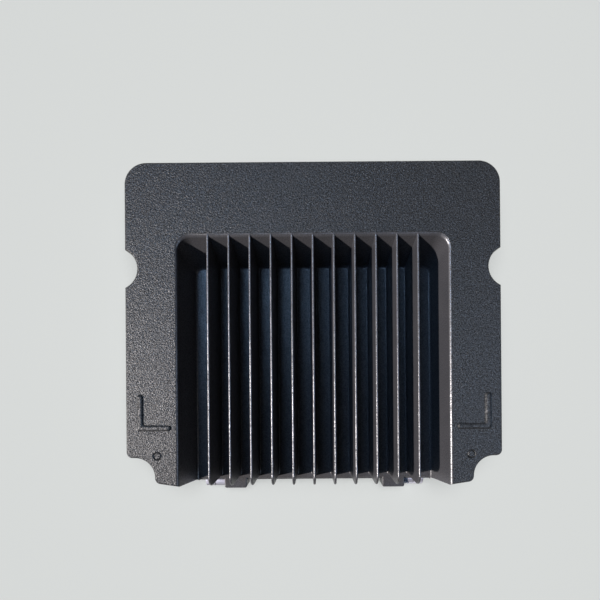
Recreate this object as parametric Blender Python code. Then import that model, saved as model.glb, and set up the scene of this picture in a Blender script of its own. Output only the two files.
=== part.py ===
"""Micro inverter for two solar panels: a finned die-cast housing closed by a flat back cover.

The inverter lies on its back cover. +Z comes out of the finned front, +Y points to the edge
that carries the sockets and +X to the right. The origin is on the plane it rests on, under the
middle of its bounding box. Everything is in metres.
"""
import math

import bmesh
import bpy
from mathutils import Vector

MM = 0.001
GAP = 0.3 * MM                    # clearance between neighbouring pieces

# Front plate. "Below" means the distance from the plate's top edge, towards -Y.
PLATE_WIDTH = 250.0 * MM
CORNER_RADIUS = 14.6 * MM
SOCKET_REACH = 13.0 * MM          # how far the sockets stand out beyond the top edge
LEG_END_BELOW = 215.8 * MM        # lower end of the two legs beside the fin bay
FLOOR_END_BELOW = 218.5 * MM      # lower edge of the fin bay's floor
LUG_END_BELOW = 225.5 * MM        # lower end of the two cast lugs
PLATE_TOP = (LUG_END_BELOW - SOCKET_REACH) / 2

# Heights above the resting plane
COVER_THICKNESS = 2.0 * MM
SEAL_THICKNESS = 0.8 * MM
RIM_Z = COVER_THICKNESS + SEAL_THICKNESS + 2 * GAP
FRONT_Z = 42.0 * MM
FLOOR_Z = 14.0 * MM
WALL = 3.0 * MM
SIDE_DRAFT = 1.2 * MM             # the housing is this much wider all round at its rim

# Side scallops and lower corner cuts
NOTCH_RADIUS = 13.8 * MM
NOTCH_X = 130.8 * MM
NOTCH_BELOW = 70.4 * MM
CUT_RADIUS = 13.3 * MM
CUT_X = 119.5 * MM
CUT_BELOW = 209.8 * MM
CUT_CORNER_RADIUS = 4.0 * MM
LEG_CORNER_RADIUS = 4.0 * MM
LEG_CORNER_BELOW = 210.0 * MM
LEG_CORNER_TURN = 82.0            # degrees

# Fin bay: an open-ended pocket whose walls lean outwards
BAY_HALF_FRONT = 90.4 * MM
BAY_HALF_FLOOR = 84.1 * MM
BAY_TOP_FRONT_BELOW = 48.2 * MM
BAY_TOP_FLOOR_BELOW = 63.1 * MM
BAY_CORNER_FRONT = 9.0 * MM
BAY_CORNER_FLOOR = 3.0 * MM

FIN_COUNT = 11
FIN_PITCH = 14.0 * MM
FIN_TIP = 1.5 * MM
FIN_ROOT = 3.2 * MM
FIN_TOP_Z = FRONT_Z - 0.2 * MM
FIN_CHAMFER_BELOW = 208.3 * MM
FIN_END_BELOW = 216.7 * MM
FIN_CHAMFER_Z = 34.2 * MM

# Raised L ribs on the front plate
RIB_HEIGHT = 1.3 * MM
RIB_WIDTH = 4.0 * MM
RIB_OUTER_X = 117.3 * MM
RIB_INNER_X = 95.0 * MM
RIB_TOP_BELOW = 154.3 * MM
RIB_BOTTOM_BELOW = 178.6 * MM

# Lugs under the lower edge, each with a sleeve and a bolt on its outer side
LUG_X = 58.4 * MM
LUG_WIDTH = 16.3 * MM
LUG_TOP_Z = 13.8 * MM
LUG_BASE_Z = 0.6 * MM
BOLT_RADIUS = 5.0 * MM
BOLT_SHANK_RADIUS = 3.0 * MM
BOLT_DEPTH = 12.0 * MM            # how far the shank enters the lug
SLEEVE_LENGTH = 7.4 * MM
BOLT_HEAD_LENGTH = 6.9 * MM
BOLT_Z = LUG_BASE_Z + BOLT_RADIUS
BOLT_Y = PLATE_TOP - LUG_END_BELOW + BOLT_RADIUS
LIP_Z = BOLT_Z + BOLT_RADIUS + GAP

# Screws that hold the cover: (x, distance below the top edge)
COVER_SCREWS = [
    (-115.0 * MM, 11.0 * MM),
    (115.0 * MM, 11.0 * MM),
    (-117.0 * MM, 110.0 * MM),
    (117.0 * MM, 110.0 * MM),
    (-98.0 * MM, 206.5 * MM),
    (98.0 * MM, 206.5 * MM),
    (0.0, 7.5 * MM),
    (0.0, 208.0 * MM),
]
SCREW_RADIUS = 1.25 * MM
SCREW_LENGTH = 11.0 * MM
SCREW_HEAD_RADIUS = 2.8 * MM
SCREW_BOSS_RADIUS = 4.2 * MM

# Circuit board and what stands on it
BOARD_Z = 5.0 * MM
BOARD_THICKNESS = 1.6 * MM
BOARD_TOP_Z = BOARD_Z + BOARD_THICKNESS
BOARD_HALF_WIDTH = 112.0 * MM
BOARD_LEG_HALF_WIDTH = 92.0 * MM
BOARD_TOP_BELOW = 15.0 * MM
BOARD_STEP_BELOW = 190.0 * MM
BOARD_BOTTOM_BELOW = 202.0 * MM
BOARD_SCREWS = [
    (-104.0 * MM, 62.0 * MM),
    (104.0 * MM, 62.0 * MM),
    (-98.0 * MM, 182.0 * MM),
    (98.0 * MM, 182.0 * MM),
]
PART_Z = BOARD_TOP_Z + GAP        # underside of the components

# Sockets through the top wall
SOCKET_Z = 11.5 * MM
DC_SOCKET_X = [-92.0 * MM, -70.0 * MM, -46.0 * MM, -24.0 * MM]
AC_SOCKET_X = 62.0 * MM
SOCKET_FACE_Y = PLATE_TOP + SIDE_DRAFT + GAP
SOCKET_TIP_Y = PLATE_TOP + SOCKET_REACH
WALL_INNER_Y = PLATE_TOP - WALL
LOCK_RING_RADIUS = 9.4 * MM
CONTACT_SETBACK = 7.0 * MM        # from a socket's mouth in to the tips of its contacts
LIGHT_X = 8.0 * MM
VENT_X = 30.0 * MM
EARTH_X = 96.0 * MM

ROUND_STEPS = 16                  # sides of a small round piece

X_AXIS = Vector((1, 0, 0))
Y_AXIS = Vector((0, 1, 0))
Z_AXIS = Vector((0, 0, 1))


def below(distance):
    """Y of a point this far below the plate's top edge."""
    return PLATE_TOP - distance


# ---------------------------------------------------------------- materials

def make_material(name, colour, roughness, metallic=0.0):
    material = bpy.data.materials.new(name)
    material.use_nodes = True
    shader = material.node_tree.nodes["Principled BSDF"]
    shader.inputs["Base Color"].default_value = (*colour, 1.0)
    shader.inputs["Roughness"].default_value = roughness
    shader.inputs["Metallic"].default_value = metallic
    return material


def make_materials():
    return {
        "cast_black": make_material("cast_black", (0.035, 0.036, 0.040), 0.55),
        "cover_sheet": make_material("cover_sheet", (0.42, 0.43, 0.45), 0.40, 1.0),
        "seal_rubber": make_material("seal_rubber", (0.02, 0.02, 0.02), 0.80),
        "screw_steel": make_material("screw_steel", (0.55, 0.55, 0.56), 0.35, 1.0),
        "bright_steel": make_material("bright_steel", (0.80, 0.81, 0.83), 0.12, 1.0),
        "socket_plastic": make_material("socket_plastic", (0.03, 0.03, 0.03), 0.50),
        "contact_tin": make_material("contact_tin", (0.75, 0.74, 0.70), 0.25, 1.0),
        "lock_ring_plastic": make_material("lock_ring_plastic", (0.05, 0.05, 0.055), 0.45),
        "lens_clear": make_material("lens_clear", (0.80, 0.85, 0.80), 0.10),
        "board_green": make_material("board_green", (0.02, 0.12, 0.05), 0.45),
        "capacitor_sleeve": make_material("capacitor_sleeve", (0.02, 0.03, 0.08), 0.35),
        "ferrite": make_material("ferrite", (0.06, 0.06, 0.065), 0.60),
        "winding_tape": make_material("winding_tape", (0.60, 0.42, 0.05), 0.40),
        "copper_wire": make_material("copper_wire", (0.60, 0.25, 0.10), 0.30, 1.0),
        "case_plastic": make_material("case_plastic", (0.05, 0.05, 0.06), 0.50),
        "film_box": make_material("film_box", (0.45, 0.06, 0.04), 0.40),
        "thermal_pad": make_material("thermal_pad", (0.35, 0.45, 0.55), 0.80),
        "shield_can": make_material("shield_can", (0.60, 0.60, 0.60), 0.30, 1.0),
    }


# ---------------------------------------------------------------- shape tools

def add_object(name, mesh_data, material, location=(0, 0, 0)):
    bmesh.ops.recalc_face_normals(mesh_data, faces=mesh_data.faces[:])
    mesh = bpy.data.meshes.new(name)
    mesh_data.to_mesh(mesh)
    mesh_data.free()
    mesh.shade_smooth()
    mesh.set_sharp_from_angle(angle=math.radians(40))
    mesh.materials.append(material)
    piece = bpy.data.objects.new(name, mesh)
    piece.location = location
    bpy.context.scene.collection.objects.link(piece)
    return piece


def skin_rings(mesh_data, rings, hollow=False):
    """Join equal closed rings of points with quads, capped at both ends or closed on itself."""
    loops = [[mesh_data.verts.new(point) for point in ring] for ring in rings]
    pairs = list(zip(loops, loops[1:]))
    if hollow:
        pairs.append((loops[-1], loops[0]))
    for lower, upper in pairs:
        count = len(lower)
        for i in range(count):
            j = (i + 1) % count
            mesh_data.faces.new((lower[i], lower[j], upper[j], upper[i]))
    if not hollow:
        mesh_data.faces.new(list(reversed(loops[0])))
        mesh_data.faces.new(loops[-1])


def loft(name, sections, material):
    """A solid through outlines of equal point count, given as (outline, z) pairs."""
    mesh_data = bmesh.new()
    skin_rings(mesh_data, [[(x, y, z) for x, y in outline] for outline, z in sections])
    return add_object(name, mesh_data, material)


def prism(name, outline, low_z, high_z, material):
    return loft(name, [(outline, low_z), (outline, high_z)], material)


def box(name, low, high, material):
    outline = [(low[0], low[1]), (high[0], low[1]), (high[0], high[1]), (low[0], high[1])]
    return prism(name, outline, low[2], high[2], material)


def circle_points(centre, axis, radius, steps=ROUND_STEPS):
    turn = Z_AXIS.rotation_difference(axis)
    points = []
    for i in range(steps):
        angle = 2 * math.pi * (i + 0.5) / steps
        points.append(Vector(centre) + turn @ Vector((radius * math.cos(angle), radius * math.sin(angle), 0)))
    return points


def turned(name, profile, base, axis, material, hollow=False, steps=ROUND_STEPS, location=(0, 0, 0)):
    """A turned piece. The profile is (distance along the axis, radius) pairs."""
    mesh_data = bmesh.new()
    rings = [circle_points(Vector(base) + axis * along, axis, radius, steps) for along, radius in profile]
    skin_rings(mesh_data, rings, hollow)
    return add_object(name, mesh_data, material, location)


def joined(name, pieces, material):
    """One guide object made of separate solids that don't touch."""
    mesh_data = bmesh.new()
    for piece in pieces:
        mesh_data.from_mesh(piece.data)
        bpy.data.objects.remove(piece)
    return add_object(name, mesh_data, material)


def cut(piece, tool, operation="DIFFERENCE"):
    modifier = piece.modifiers.new(tool.name, "BOOLEAN")
    modifier.operation = operation
    modifier.object = tool
    modifier.solver = "EXACT"
    tool.hide_render = True
    tool.display_type = "WIRE"


def arc(centre_x, centre_y, radius, start, end, steps):
    """Points on an arc, angles in degrees."""
    points = []
    for i in range(steps + 1):
        angle = math.radians(start + (end - start) * i / steps)
        points.append((centre_x + radius * math.cos(angle), centre_y + radius * math.sin(angle)))
    return points


def mirrored(right_half):
    """A closed outline from its right half, listed from the top down."""
    return right_half + [(-x, y) for x, y in reversed(right_half)]


# ---------------------------------------------------------------- outlines

def housing_outline(grow, middle_below=LEG_END_BELOW):
    """The plate's outline, offset outwards by grow."""
    half = PLATE_WIDTH / 2
    corner = half - CORNER_RADIUS
    points = arc(corner, below(CORNER_RADIUS), CORNER_RADIUS + grow, 90, 0, 6)

    notch_radius = NOTCH_RADIUS - grow
    opening = math.degrees(math.acos((NOTCH_X - half - grow) / notch_radius))
    points += arc(NOTCH_X, below(NOTCH_BELOW), notch_radius, 180 - opening, 180 + opening, 8)

    shoulder_y = below(CUT_BELOW - CUT_RADIUS)
    corner_y = shoulder_y + CUT_CORNER_RADIUS
    points += arc(half - CUT_CORNER_RADIUS, corner_y, CUT_CORNER_RADIUS + grow, 0, -90, 3)
    points += arc(CUT_X, below(CUT_BELOW), CUT_RADIUS - grow, 90, 180, 5)

    leg_x = CUT_X - CUT_RADIUS - LEG_CORNER_RADIUS
    points += arc(leg_x, below(LEG_CORNER_BELOW), LEG_CORNER_RADIUS + grow, 0, -LEG_CORNER_TURN, 3)
    points.append((BAY_HALF_FRONT, below(LEG_END_BELOW) - grow))
    points.append((BAY_HALF_FLOOR, below(middle_below) - grow))
    return mirrored(points)


def bay_outline(half, top_below, corner, bottom_below=250.0 * MM):
    points = arc(half - corner, below(top_below + corner), corner, 90, 0, 4)
    points.append((half, below(bottom_below)))
    return mirrored(points)


def bay_section(z, grow=0.0):
    """The fin bay's outline at height z, following the lean of its walls."""
    share = (z - FLOOR_Z) / (FRONT_Z - FLOOR_Z)
    half = BAY_HALF_FLOOR + (BAY_HALF_FRONT - BAY_HALF_FLOOR) * share
    top = BAY_TOP_FLOOR_BELOW + (BAY_TOP_FRONT_BELOW - BAY_TOP_FLOOR_BELOW) * share
    corner = BAY_CORNER_FLOOR + (BAY_CORNER_FRONT - BAY_CORNER_FLOOR) * share
    return bay_outline(half + grow, top - grow, corner + grow), z


# ---------------------------------------------------------------- housing

def fin(index, material):
    """One tapered fin. Its upper end runs into the bay's leaning top wall."""
    x = (index - (FIN_COUNT - 1) / 2) * FIN_PITCH
    root_z = FLOOR_Z - 1.0 * MM
    bury = 1.2 * MM
    side = [
        (below(BAY_TOP_FLOOR_BELOW) + bury, root_z),
        (below(BAY_TOP_FRONT_BELOW) + bury, FIN_TOP_Z),
        (below(FIN_CHAMFER_BELOW), FIN_TOP_Z),
        (below(FIN_END_BELOW), FIN_CHAMFER_Z),
        (below(FIN_END_BELOW), root_z),
    ]
    mesh_data = bmesh.new()
    faces = []
    for sign in (-1, 1):
        ring = []
        for y, z in side:
            share = (z - FLOOR_Z) / (FRONT_Z - FLOOR_Z)
            thickness = FIN_ROOT + (FIN_TIP - FIN_ROOT) * share
            ring.append((x + sign * thickness / 2, y, z))
        faces.append(ring)
    skin_rings(mesh_data, faces)
    return add_object(f"cut_fin_{index + 1}", mesh_data, material)


def lug(sign, material):
    """A cast lug, stepped at the back where the cover runs past it."""
    inner_x = LUG_X - LUG_WIDTH / 2
    outer_x = LUG_X + LUG_WIDTH / 2
    step_z = RIM_Z + 1.0 * MM
    side = [
        (below(FLOOR_END_BELOW - 3.0 * MM), LUG_TOP_Z),
        (below(LUG_END_BELOW), LUG_TOP_Z),
        (below(LUG_END_BELOW), LUG_BASE_Z),
        (below(FLOOR_END_BELOW - 0.5 * MM), LUG_BASE_Z),
        (below(FLOOR_END_BELOW - 0.5 * MM), step_z),
        (below(FLOOR_END_BELOW - 3.0 * MM), step_z),
    ]
    mesh_data = bmesh.new()
    skin_rings(mesh_data, [[(sign * x, y, z) for y, z in side] for x in (inner_x, outer_x)])
    return add_object(f"cut_lug_{'left' if sign < 0 else 'right'}", mesh_data, material)


def l_rib(sign, material):
    top = below(RIB_TOP_BELOW)
    bottom = below(RIB_BOTTOM_BELOW)
    outline = [
        (RIB_OUTER_X, top),
        (RIB_OUTER_X - RIB_WIDTH, top),
        (RIB_OUTER_X - RIB_WIDTH, bottom + RIB_WIDTH),
        (RIB_INNER_X, bottom + RIB_WIDTH),
        (RIB_INNER_X, bottom),
        (RIB_OUTER_X, bottom),
    ]
    outline = [(sign * x, y) for x, y in outline]
    name = f"cut_rib_{'left' if sign < 0 else 'right'}"
    return prism(name, outline, FRONT_Z - 0.5 * MM, FRONT_Z + RIB_HEIGHT, material)


def cavity(material):
    """The space for the electronics: round the fin bay, and low under its floor."""
    outline = housing_outline(-WALL)
    space = prism("cut_cavity", outline, -1.0 * MM, FRONT_Z - WALL, material)
    bay = [bay_section(FLOOR_Z - WALL, WALL), bay_section(FRONT_Z + 1.0 * MM, WALL)]
    cut(space, loft("cut_cavity_bay", bay, material))

    columns = []
    for number, (x, down) in enumerate(COVER_SCREWS):
        column = turned(f"cut_boss_{number}", [(-2.0 * MM, SCREW_BOSS_RADIUS), (FRONT_Z, SCREW_BOSS_RADIUS)],
                        (x, below(down), 0), Z_AXIS, material, steps=12)
        columns.append(column)
    for number, (x, down) in enumerate(BOARD_SCREWS):
        column = turned(f"cut_post_{number}", [(PART_Z, 3.5 * MM), (FRONT_Z, 3.5 * MM)],
                        (x, below(down), 0), Z_AXIS, material, steps=12)
        columns.append(column)
    cut(space, joined("cut_columns", columns, material))
    return space


def bores(material):
    """Every round hole in the housing: screws, lug bolts, sockets and fittings."""
    holes = []

    def drill(base, axis, length, radius):
        name = f"cut_bore_{len(holes)}"
        profile = [(0.0, radius), (length, radius)]
        holes.append(turned(name, profile, base, axis, material, steps=12))

    for x, down in COVER_SCREWS:
        drill((x, below(down), 0), Z_AXIS, SCREW_LENGTH + 1.0 * MM, SCREW_RADIUS + GAP)
    for x, down in BOARD_SCREWS:
        drill((x, below(down), PART_Z - 1.0 * MM), Z_AXIS, 9.0 * MM, SCREW_RADIUS + GAP)
    for sign in (-1, 1):
        outer_x = LUG_X + LUG_WIDTH / 2
        start = (sign * (outer_x + 1.0 * MM), BOLT_Y, BOLT_Z)
        drill(start, -sign * X_AXIS, BOLT_DEPTH + 2.0 * MM, BOLT_SHANK_RADIUS + GAP)

    for x in DC_SOCKET_X:
        drill((x, WALL_INNER_Y - 1.0 * MM, SOCKET_Z), Y_AXIS, 8.0 * MM, 5.0 * MM + GAP)
    drill((AC_SOCKET_X, WALL_INNER_Y - 1.0 * MM, SOCKET_Z), Y_AXIS, 8.0 * MM, 6.4 * MM + GAP)
    drill((LIGHT_X, WALL_INNER_Y - 1.0 * MM, SOCKET_Z), Y_AXIS, 8.0 * MM, 2.0 * MM + GAP)
    drill((VENT_X, WALL_INNER_Y - 1.0 * MM, SOCKET_Z), Y_AXIS, 8.0 * MM, 3.0 * MM + GAP)
    drill((EARTH_X, WALL_INNER_Y - 1.0 * MM, SOCKET_Z), Y_AXIS, 8.0 * MM, 2.2 * MM + GAP)
    return joined("cut_bores", holes, material)


def bolt_pocket(sign, material):
    """Room under the floor's lip for a sleeve and a bolt head."""
    near = LUG_X + LUG_WIDTH / 2
    far = near + SLEEVE_LENGTH + BOLT_HEAD_LENGTH + 4 * GAP
    low_x, high_x = sorted((sign * near, sign * far))
    low = (low_x, below(LUG_END_BELOW + 5.0 * MM), -1.0 * MM)
    high = (high_x, BOLT_Y + BOLT_RADIUS + GAP, LIP_Z)
    return box(f"cut_pocket_{'left' if sign < 0 else 'right'}", low, high, material)


def heatsink_housing(materials):
    """One casting: plate, walls, bay, fins, L ribs, lugs and screw bosses."""
    material = materials["cast_black"]
    rim = housing_outline(SIDE_DRAFT, FLOOR_END_BELOW + (GAP - SIDE_DRAFT))
    front = housing_outline(0.0, FLOOR_END_BELOW)
    housing = loft("heatsink_housing", [(rim, RIM_Z), (front, FRONT_Z)], material)
    cut(housing, cavity(material))
    bay = [bay_section(FLOOR_Z), bay_section(FRONT_Z + 1.0 * MM)]
    cut(housing, loft("cut_bay", bay, material))

    fins = [fin(index, material) for index in range(FIN_COUNT)]
    cut(housing, joined("cut_fins", fins, material), "UNION")
    lugs = [lug(sign, material) for sign in (-1, 1)]
    cut(housing, joined("cut_lugs", lugs, material), "UNION")
    ribs = [l_rib(sign, material) for sign in (-1, 1)]
    cut(housing, joined("cut_ribs", ribs, material), "UNION")

    pockets = [bolt_pocket(sign, material) for sign in (-1, 1)]
    cut(housing, joined("cut_pockets", pockets, material))
    cut(housing, bores(material))


# ---------------------------------------------------------------- back cover, seal and screws

def back_cover(materials):
    material = materials["cover_sheet"]
    outline = housing_outline(SIDE_DRAFT - 0.6 * MM, LEG_END_BELOW - 0.5 * MM)
    cover = prism("back_cover", outline, 0.0, COVER_THICKNESS, material)
    sinks = []
    for number, (x, down) in enumerate(COVER_SCREWS):
        profile = [
            (-0.5 * MM, SCREW_HEAD_RADIUS + GAP),
            (0.4 * MM, SCREW_HEAD_RADIUS + GAP),
            (1.6 * MM, SCREW_RADIUS + GAP + 0.2 * MM),
            (COVER_THICKNESS + 0.5 * MM, SCREW_RADIUS + GAP + 0.2 * MM),
        ]
        sinks.append(turned(f"cut_sink_{number}", profile, (x, below(down), 0), Z_AXIS, material, steps=12))
    cut(cover, joined("cut_sinks", sinks, material))


def cover_seal(materials):
    """A flat ring between the cover and the housing's rim."""
    middle_below = LEG_END_BELOW - 1.2 * MM
    outer = housing_outline(SIDE_DRAFT - 0.7 * MM, middle_below)
    inner = housing_outline(SIDE_DRAFT - 2.9 * MM, middle_below)
    low_z = COVER_THICKNESS + GAP
    high_z = low_z + SEAL_THICKNESS
    mesh_data = bmesh.new()
    rings = []
    for outline, z in ((outer, low_z), (outer, high_z), (inner, high_z), (inner, low_z)):
        rings.append([(x, y, z) for x, y in outline])
    skin_rings(mesh_data, rings, hollow=True)
    add_object("cover_seal", mesh_data, materials["seal_rubber"])


def cover_screws(materials):
    for number, (x, down) in enumerate(COVER_SCREWS, start=1):
        profile = [
            (0.2 * MM, SCREW_HEAD_RADIUS),
            (0.5 * MM, SCREW_HEAD_RADIUS),
            (1.7 * MM, SCREW_RADIUS),
            (SCREW_LENGTH, SCREW_RADIUS),
        ]
        base = (x, below(down), 0)
        turned(f"cover_screw_{number}", profile, base, Z_AXIS, materials["screw_steel"], steps=12)


# ---------------------------------------------------------------- lug bolts

def lug_fasteners(materials):
    """On each lug's outer side: a spacer sleeve, then the head of a bolt that screws into the lug."""
    material = materials["bright_steel"]
    for sign, side in ((-1, "left"), (1, "right")):
        start = (sign * (LUG_X + LUG_WIDTH / 2 + GAP), BOLT_Y, BOLT_Z)
        outwards = sign * X_AXIS
        bore = BOLT_SHANK_RADIUS + GAP
        edge = 0.5 * MM
        sleeve = [
            (0.0, bore),
            (0.0, BOLT_RADIUS - edge),
            (edge, BOLT_RADIUS),
            (SLEEVE_LENGTH - edge, BOLT_RADIUS),
            (SLEEVE_LENGTH, BOLT_RADIUS - edge),
            (SLEEVE_LENGTH, bore),
        ]
        turned(f"lug_sleeve_{side}", sleeve, start, outwards, material, hollow=True)

        head_start = SLEEVE_LENGTH + GAP
        head_end = head_start + BOLT_HEAD_LENGTH
        drive = 2.6 * MM
        bolt = [
            (-BOLT_DEPTH, BOLT_SHANK_RADIUS),
            (head_start, BOLT_SHANK_RADIUS),
            (head_start, BOLT_RADIUS - edge),
            (head_start + edge, BOLT_RADIUS),
            (head_end - edge, BOLT_RADIUS),
            (head_end, BOLT_RADIUS - edge),
            (head_end, drive),
            (head_end - 3.5 * MM, drive),
        ]
        turned(f"lug_bolt_{side}", bolt, start, outwards, material)


# ---------------------------------------------------------------- sockets and fittings on the top edge

def nut(name, x, bore, radius, material):
    """A lock nut on the inner side of the top wall."""
    depth = 4.0 * MM
    profile = [(0.0, bore + GAP), (0.0, radius), (depth, radius), (depth, bore + GAP)]
    base = (x, WALL_INNER_Y - GAP, SOCKET_Z)
    turned(name, profile, base, -Y_AXIS, material, hollow=True, steps=6 if bore < 4 * MM else 12)


def dc_sockets(materials):
    """Four panel sockets. Plus sockets hold a solid pin and minus sockets a contact tube."""
    reach = SOCKET_TIP_Y - SOCKET_FACE_Y
    for number, x in enumerate(DC_SOCKET_X, start=1):
        body = [
            (-15.0 * MM, 5.0 * MM),
            (0.0, 5.0 * MM),
            (0.0, 8.0 * MM),
            (2.6 * MM, 8.0 * MM),
            (2.6 * MM, 6.2 * MM),
            (reach - 0.6 * MM, 6.2 * MM),
            (reach, 5.8 * MM),
            (reach, 4.2 * MM),
            (-6.0 * MM, 4.2 * MM),
        ]
        base = (x, SOCKET_FACE_Y, SOCKET_Z)
        turned(f"dc_socket_{number}", body, base, Y_AXIS, materials["socket_plastic"])
        nut(f"dc_nut_{number}", x, 5.0 * MM, 7.6 * MM, materials["socket_plastic"])

        foot = -6.0 * MM + GAP
        tip = reach - CONTACT_SETBACK
        if number % 2:
            contact = [(foot, 1.4 * MM), (tip - 0.8 * MM, 1.4 * MM), (tip, 0.8 * MM)]
        else:
            contact = [(foot, 2.4 * MM), (tip, 2.4 * MM), (tip, 1.6 * MM), (foot + 3.0 * MM, 1.6 * MM)]
        turned(f"dc_contact_{number}", contact, base, Y_AXIS, materials["contact_tin"], steps=10)


def ac_outlet(materials):
    """The grid socket: a fixed body with three pins, and a ring that turns to lock the plug."""
    reach = SOCKET_TIP_Y - SOCKET_FACE_Y
    base = (AC_SOCKET_X, SOCKET_FACE_Y, SOCKET_Z)
    body_radius = 7.6 * MM
    body = [
        (-15.0 * MM, 6.4 * MM),
        (0.0, 6.4 * MM),
        (0.0, 9.4 * MM),
        (2.0 * MM, 9.4 * MM),
        (2.0 * MM, body_radius),
        (reach, body_radius),
        (reach, 5.6 * MM),
        (-6.0 * MM, 5.6 * MM),
    ]
    turned("ac_socket", body, base, Y_AXIS, materials["socket_plastic"])
    nut("ac_nut", AC_SOCKET_X, 6.4 * MM, 9.2 * MM, materials["socket_plastic"])

    pin_circle = 3.0 * MM
    for number in range(3):
        angle = math.radians(90 + 120 * number)
        pin_x = AC_SOCKET_X + pin_circle * math.cos(angle)
        pin_base = (pin_x, SOCKET_FACE_Y, SOCKET_Z + pin_circle * math.sin(angle))
        tip = reach - CONTACT_SETBACK
        pin = [(-6.0 * MM + GAP, 1.0 * MM), (tip - 0.6 * MM, 1.0 * MM), (tip, 0.6 * MM)]
        turned(f"ac_contact_{number + 1}", pin, pin_base, Y_AXIS, materials["contact_tin"], steps=8)
    lock_ring(body_radius + GAP, materials["lock_ring_plastic"])


def lock_ring(bore, material):
    """The AC lock ring, fluted for grip. Its origin is on the axis it turns about."""
    start = 2.0 * MM + GAP
    end = SOCKET_TIP_Y - SOCKET_FACE_Y - 2.0 * MM
    flutes = 10
    mesh_data = bmesh.new()
    rings = []
    for along, outer in ((start, False), (start, True), (end, True), (end, False)):
        ring = []
        for i in range(4 * flutes):
            angle = 2 * math.pi * (i + 0.5) / (4 * flutes)
            grip = LOCK_RING_RADIUS if i % 4 < 2 else LOCK_RING_RADIUS - 0.7 * MM
            radius = grip if outer else bore
            ring.append((radius * math.cos(angle), along, radius * math.sin(angle)))
        rings.append(ring)
    skin_rings(mesh_data, rings, hollow=True)
    add_object("ac_lock_ring", mesh_data, material, location=(AC_SOCKET_X, SOCKET_FACE_Y, SOCKET_Z))


def small_fittings(materials):
    """Status light, breather plug and earth screw with its washer."""
    light = [
        (-9.0 * MM, 2.0 * MM),
        (0.0, 2.0 * MM),
        (0.0, 3.2 * MM),
        (0.8 * MM, 3.2 * MM),
        (2.0 * MM, 2.0 * MM),
    ]
    light_base = (LIGHT_X, SOCKET_FACE_Y, SOCKET_Z)
    turned("status_light", light, light_base, Y_AXIS, materials["lens_clear"], steps=12)

    vent = [
        (-7.0 * MM, 3.0 * MM),
        (0.0, 3.0 * MM),
        (0.0, 6.0 * MM),
        (2.6 * MM, 6.0 * MM),
        (3.4 * MM, 5.0 * MM),
    ]
    vent_base = (VENT_X, SOCKET_FACE_Y, SOCKET_Z)
    turned("vent_plug", vent, vent_base, Y_AXIS, materials["socket_plastic"], steps=12)

    washer_thickness = 1.0 * MM
    washer = [
        (0.0, 2.5 * MM),
        (0.0, 5.5 * MM),
        (washer_thickness, 5.5 * MM),
        (washer_thickness, 2.5 * MM),
    ]
    earth_base = (EARTH_X, SOCKET_FACE_Y, SOCKET_Z)
    turned("earth_washer", washer, earth_base, Y_AXIS, materials["screw_steel"], hollow=True)

    head = washer_thickness + GAP
    screw = [
        (-8.0 * MM, 2.2 * MM),
        (head, 2.2 * MM),
        (head, 4.4 * MM),
        (head + 1.6 * MM, 4.2 * MM),
        (head + 2.6 * MM, 2.6 * MM),
    ]
    turned("earth_screw", screw, earth_base, Y_AXIS, materials["screw_steel"], steps=12)


# ---------------------------------------------------------------- electronics

def main_board(materials):
    """The board fills the cavity's plan, stepped in where the lower corners are cut away."""
    material = materials["board_green"]
    right_half = [
        (BOARD_HALF_WIDTH - 12.0 * MM, below(BOARD_TOP_BELOW)),
        (BOARD_HALF_WIDTH, below(BOARD_TOP_BELOW + 12.0 * MM)),
        (BOARD_HALF_WIDTH, below(BOARD_STEP_BELOW)),
        (BOARD_LEG_HALF_WIDTH, below(BOARD_STEP_BELOW)),
        (BOARD_LEG_HALF_WIDTH, below(BOARD_BOTTOM_BELOW)),
    ]
    board = prism("main_board", mirrored(right_half), BOARD_Z, BOARD_TOP_Z, material)
    holes = []
    for number, (x, down) in enumerate(BOARD_SCREWS):
        profile = [(-1.0 * MM, SCREW_RADIUS + GAP), (BOARD_THICKNESS + 1.0 * MM, SCREW_RADIUS + GAP)]
        hole = turned(f"cut_hole_{number}", profile, (x, below(down), BOARD_Z), Z_AXIS, material, steps=12)
        holes.append(hole)
    cut(board, joined("cut_board_holes", holes, material))


def board_screws(materials):
    """Each screw comes through the board from the back into a cast post."""
    for number, (x, down) in enumerate(BOARD_SCREWS, start=1):
        profile = [
            (-1.8 * MM, 2.2 * MM),
            (-GAP, 2.6 * MM),
            (-GAP, SCREW_RADIUS),
            (8.0 * MM, SCREW_RADIUS),
        ]
        base = (x, below(down), BOARD_Z)
        turned(f"board_screw_{number}", profile, base, Z_AXIS, materials["screw_steel"], steps=10)


def dc_capacitors(materials):
    """Four upright electrolytic capacitors beside the panel sockets."""
    for number in range(4):
        x = (-106.0 + 18.0 * number) * MM
        profile = [
            (0.0, 7.4 * MM),
            (1.5 * MM, 8.0 * MM),
            (27.0 * MM, 8.0 * MM),
            (28.0 * MM, 7.2 * MM),
        ]
        base = (x, below(34.0 * MM), PART_Z)
        turned(f"dc_capacitor_{number + 1}", profile, base, Z_AXIS, materials["capacitor_sleeve"])


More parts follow.
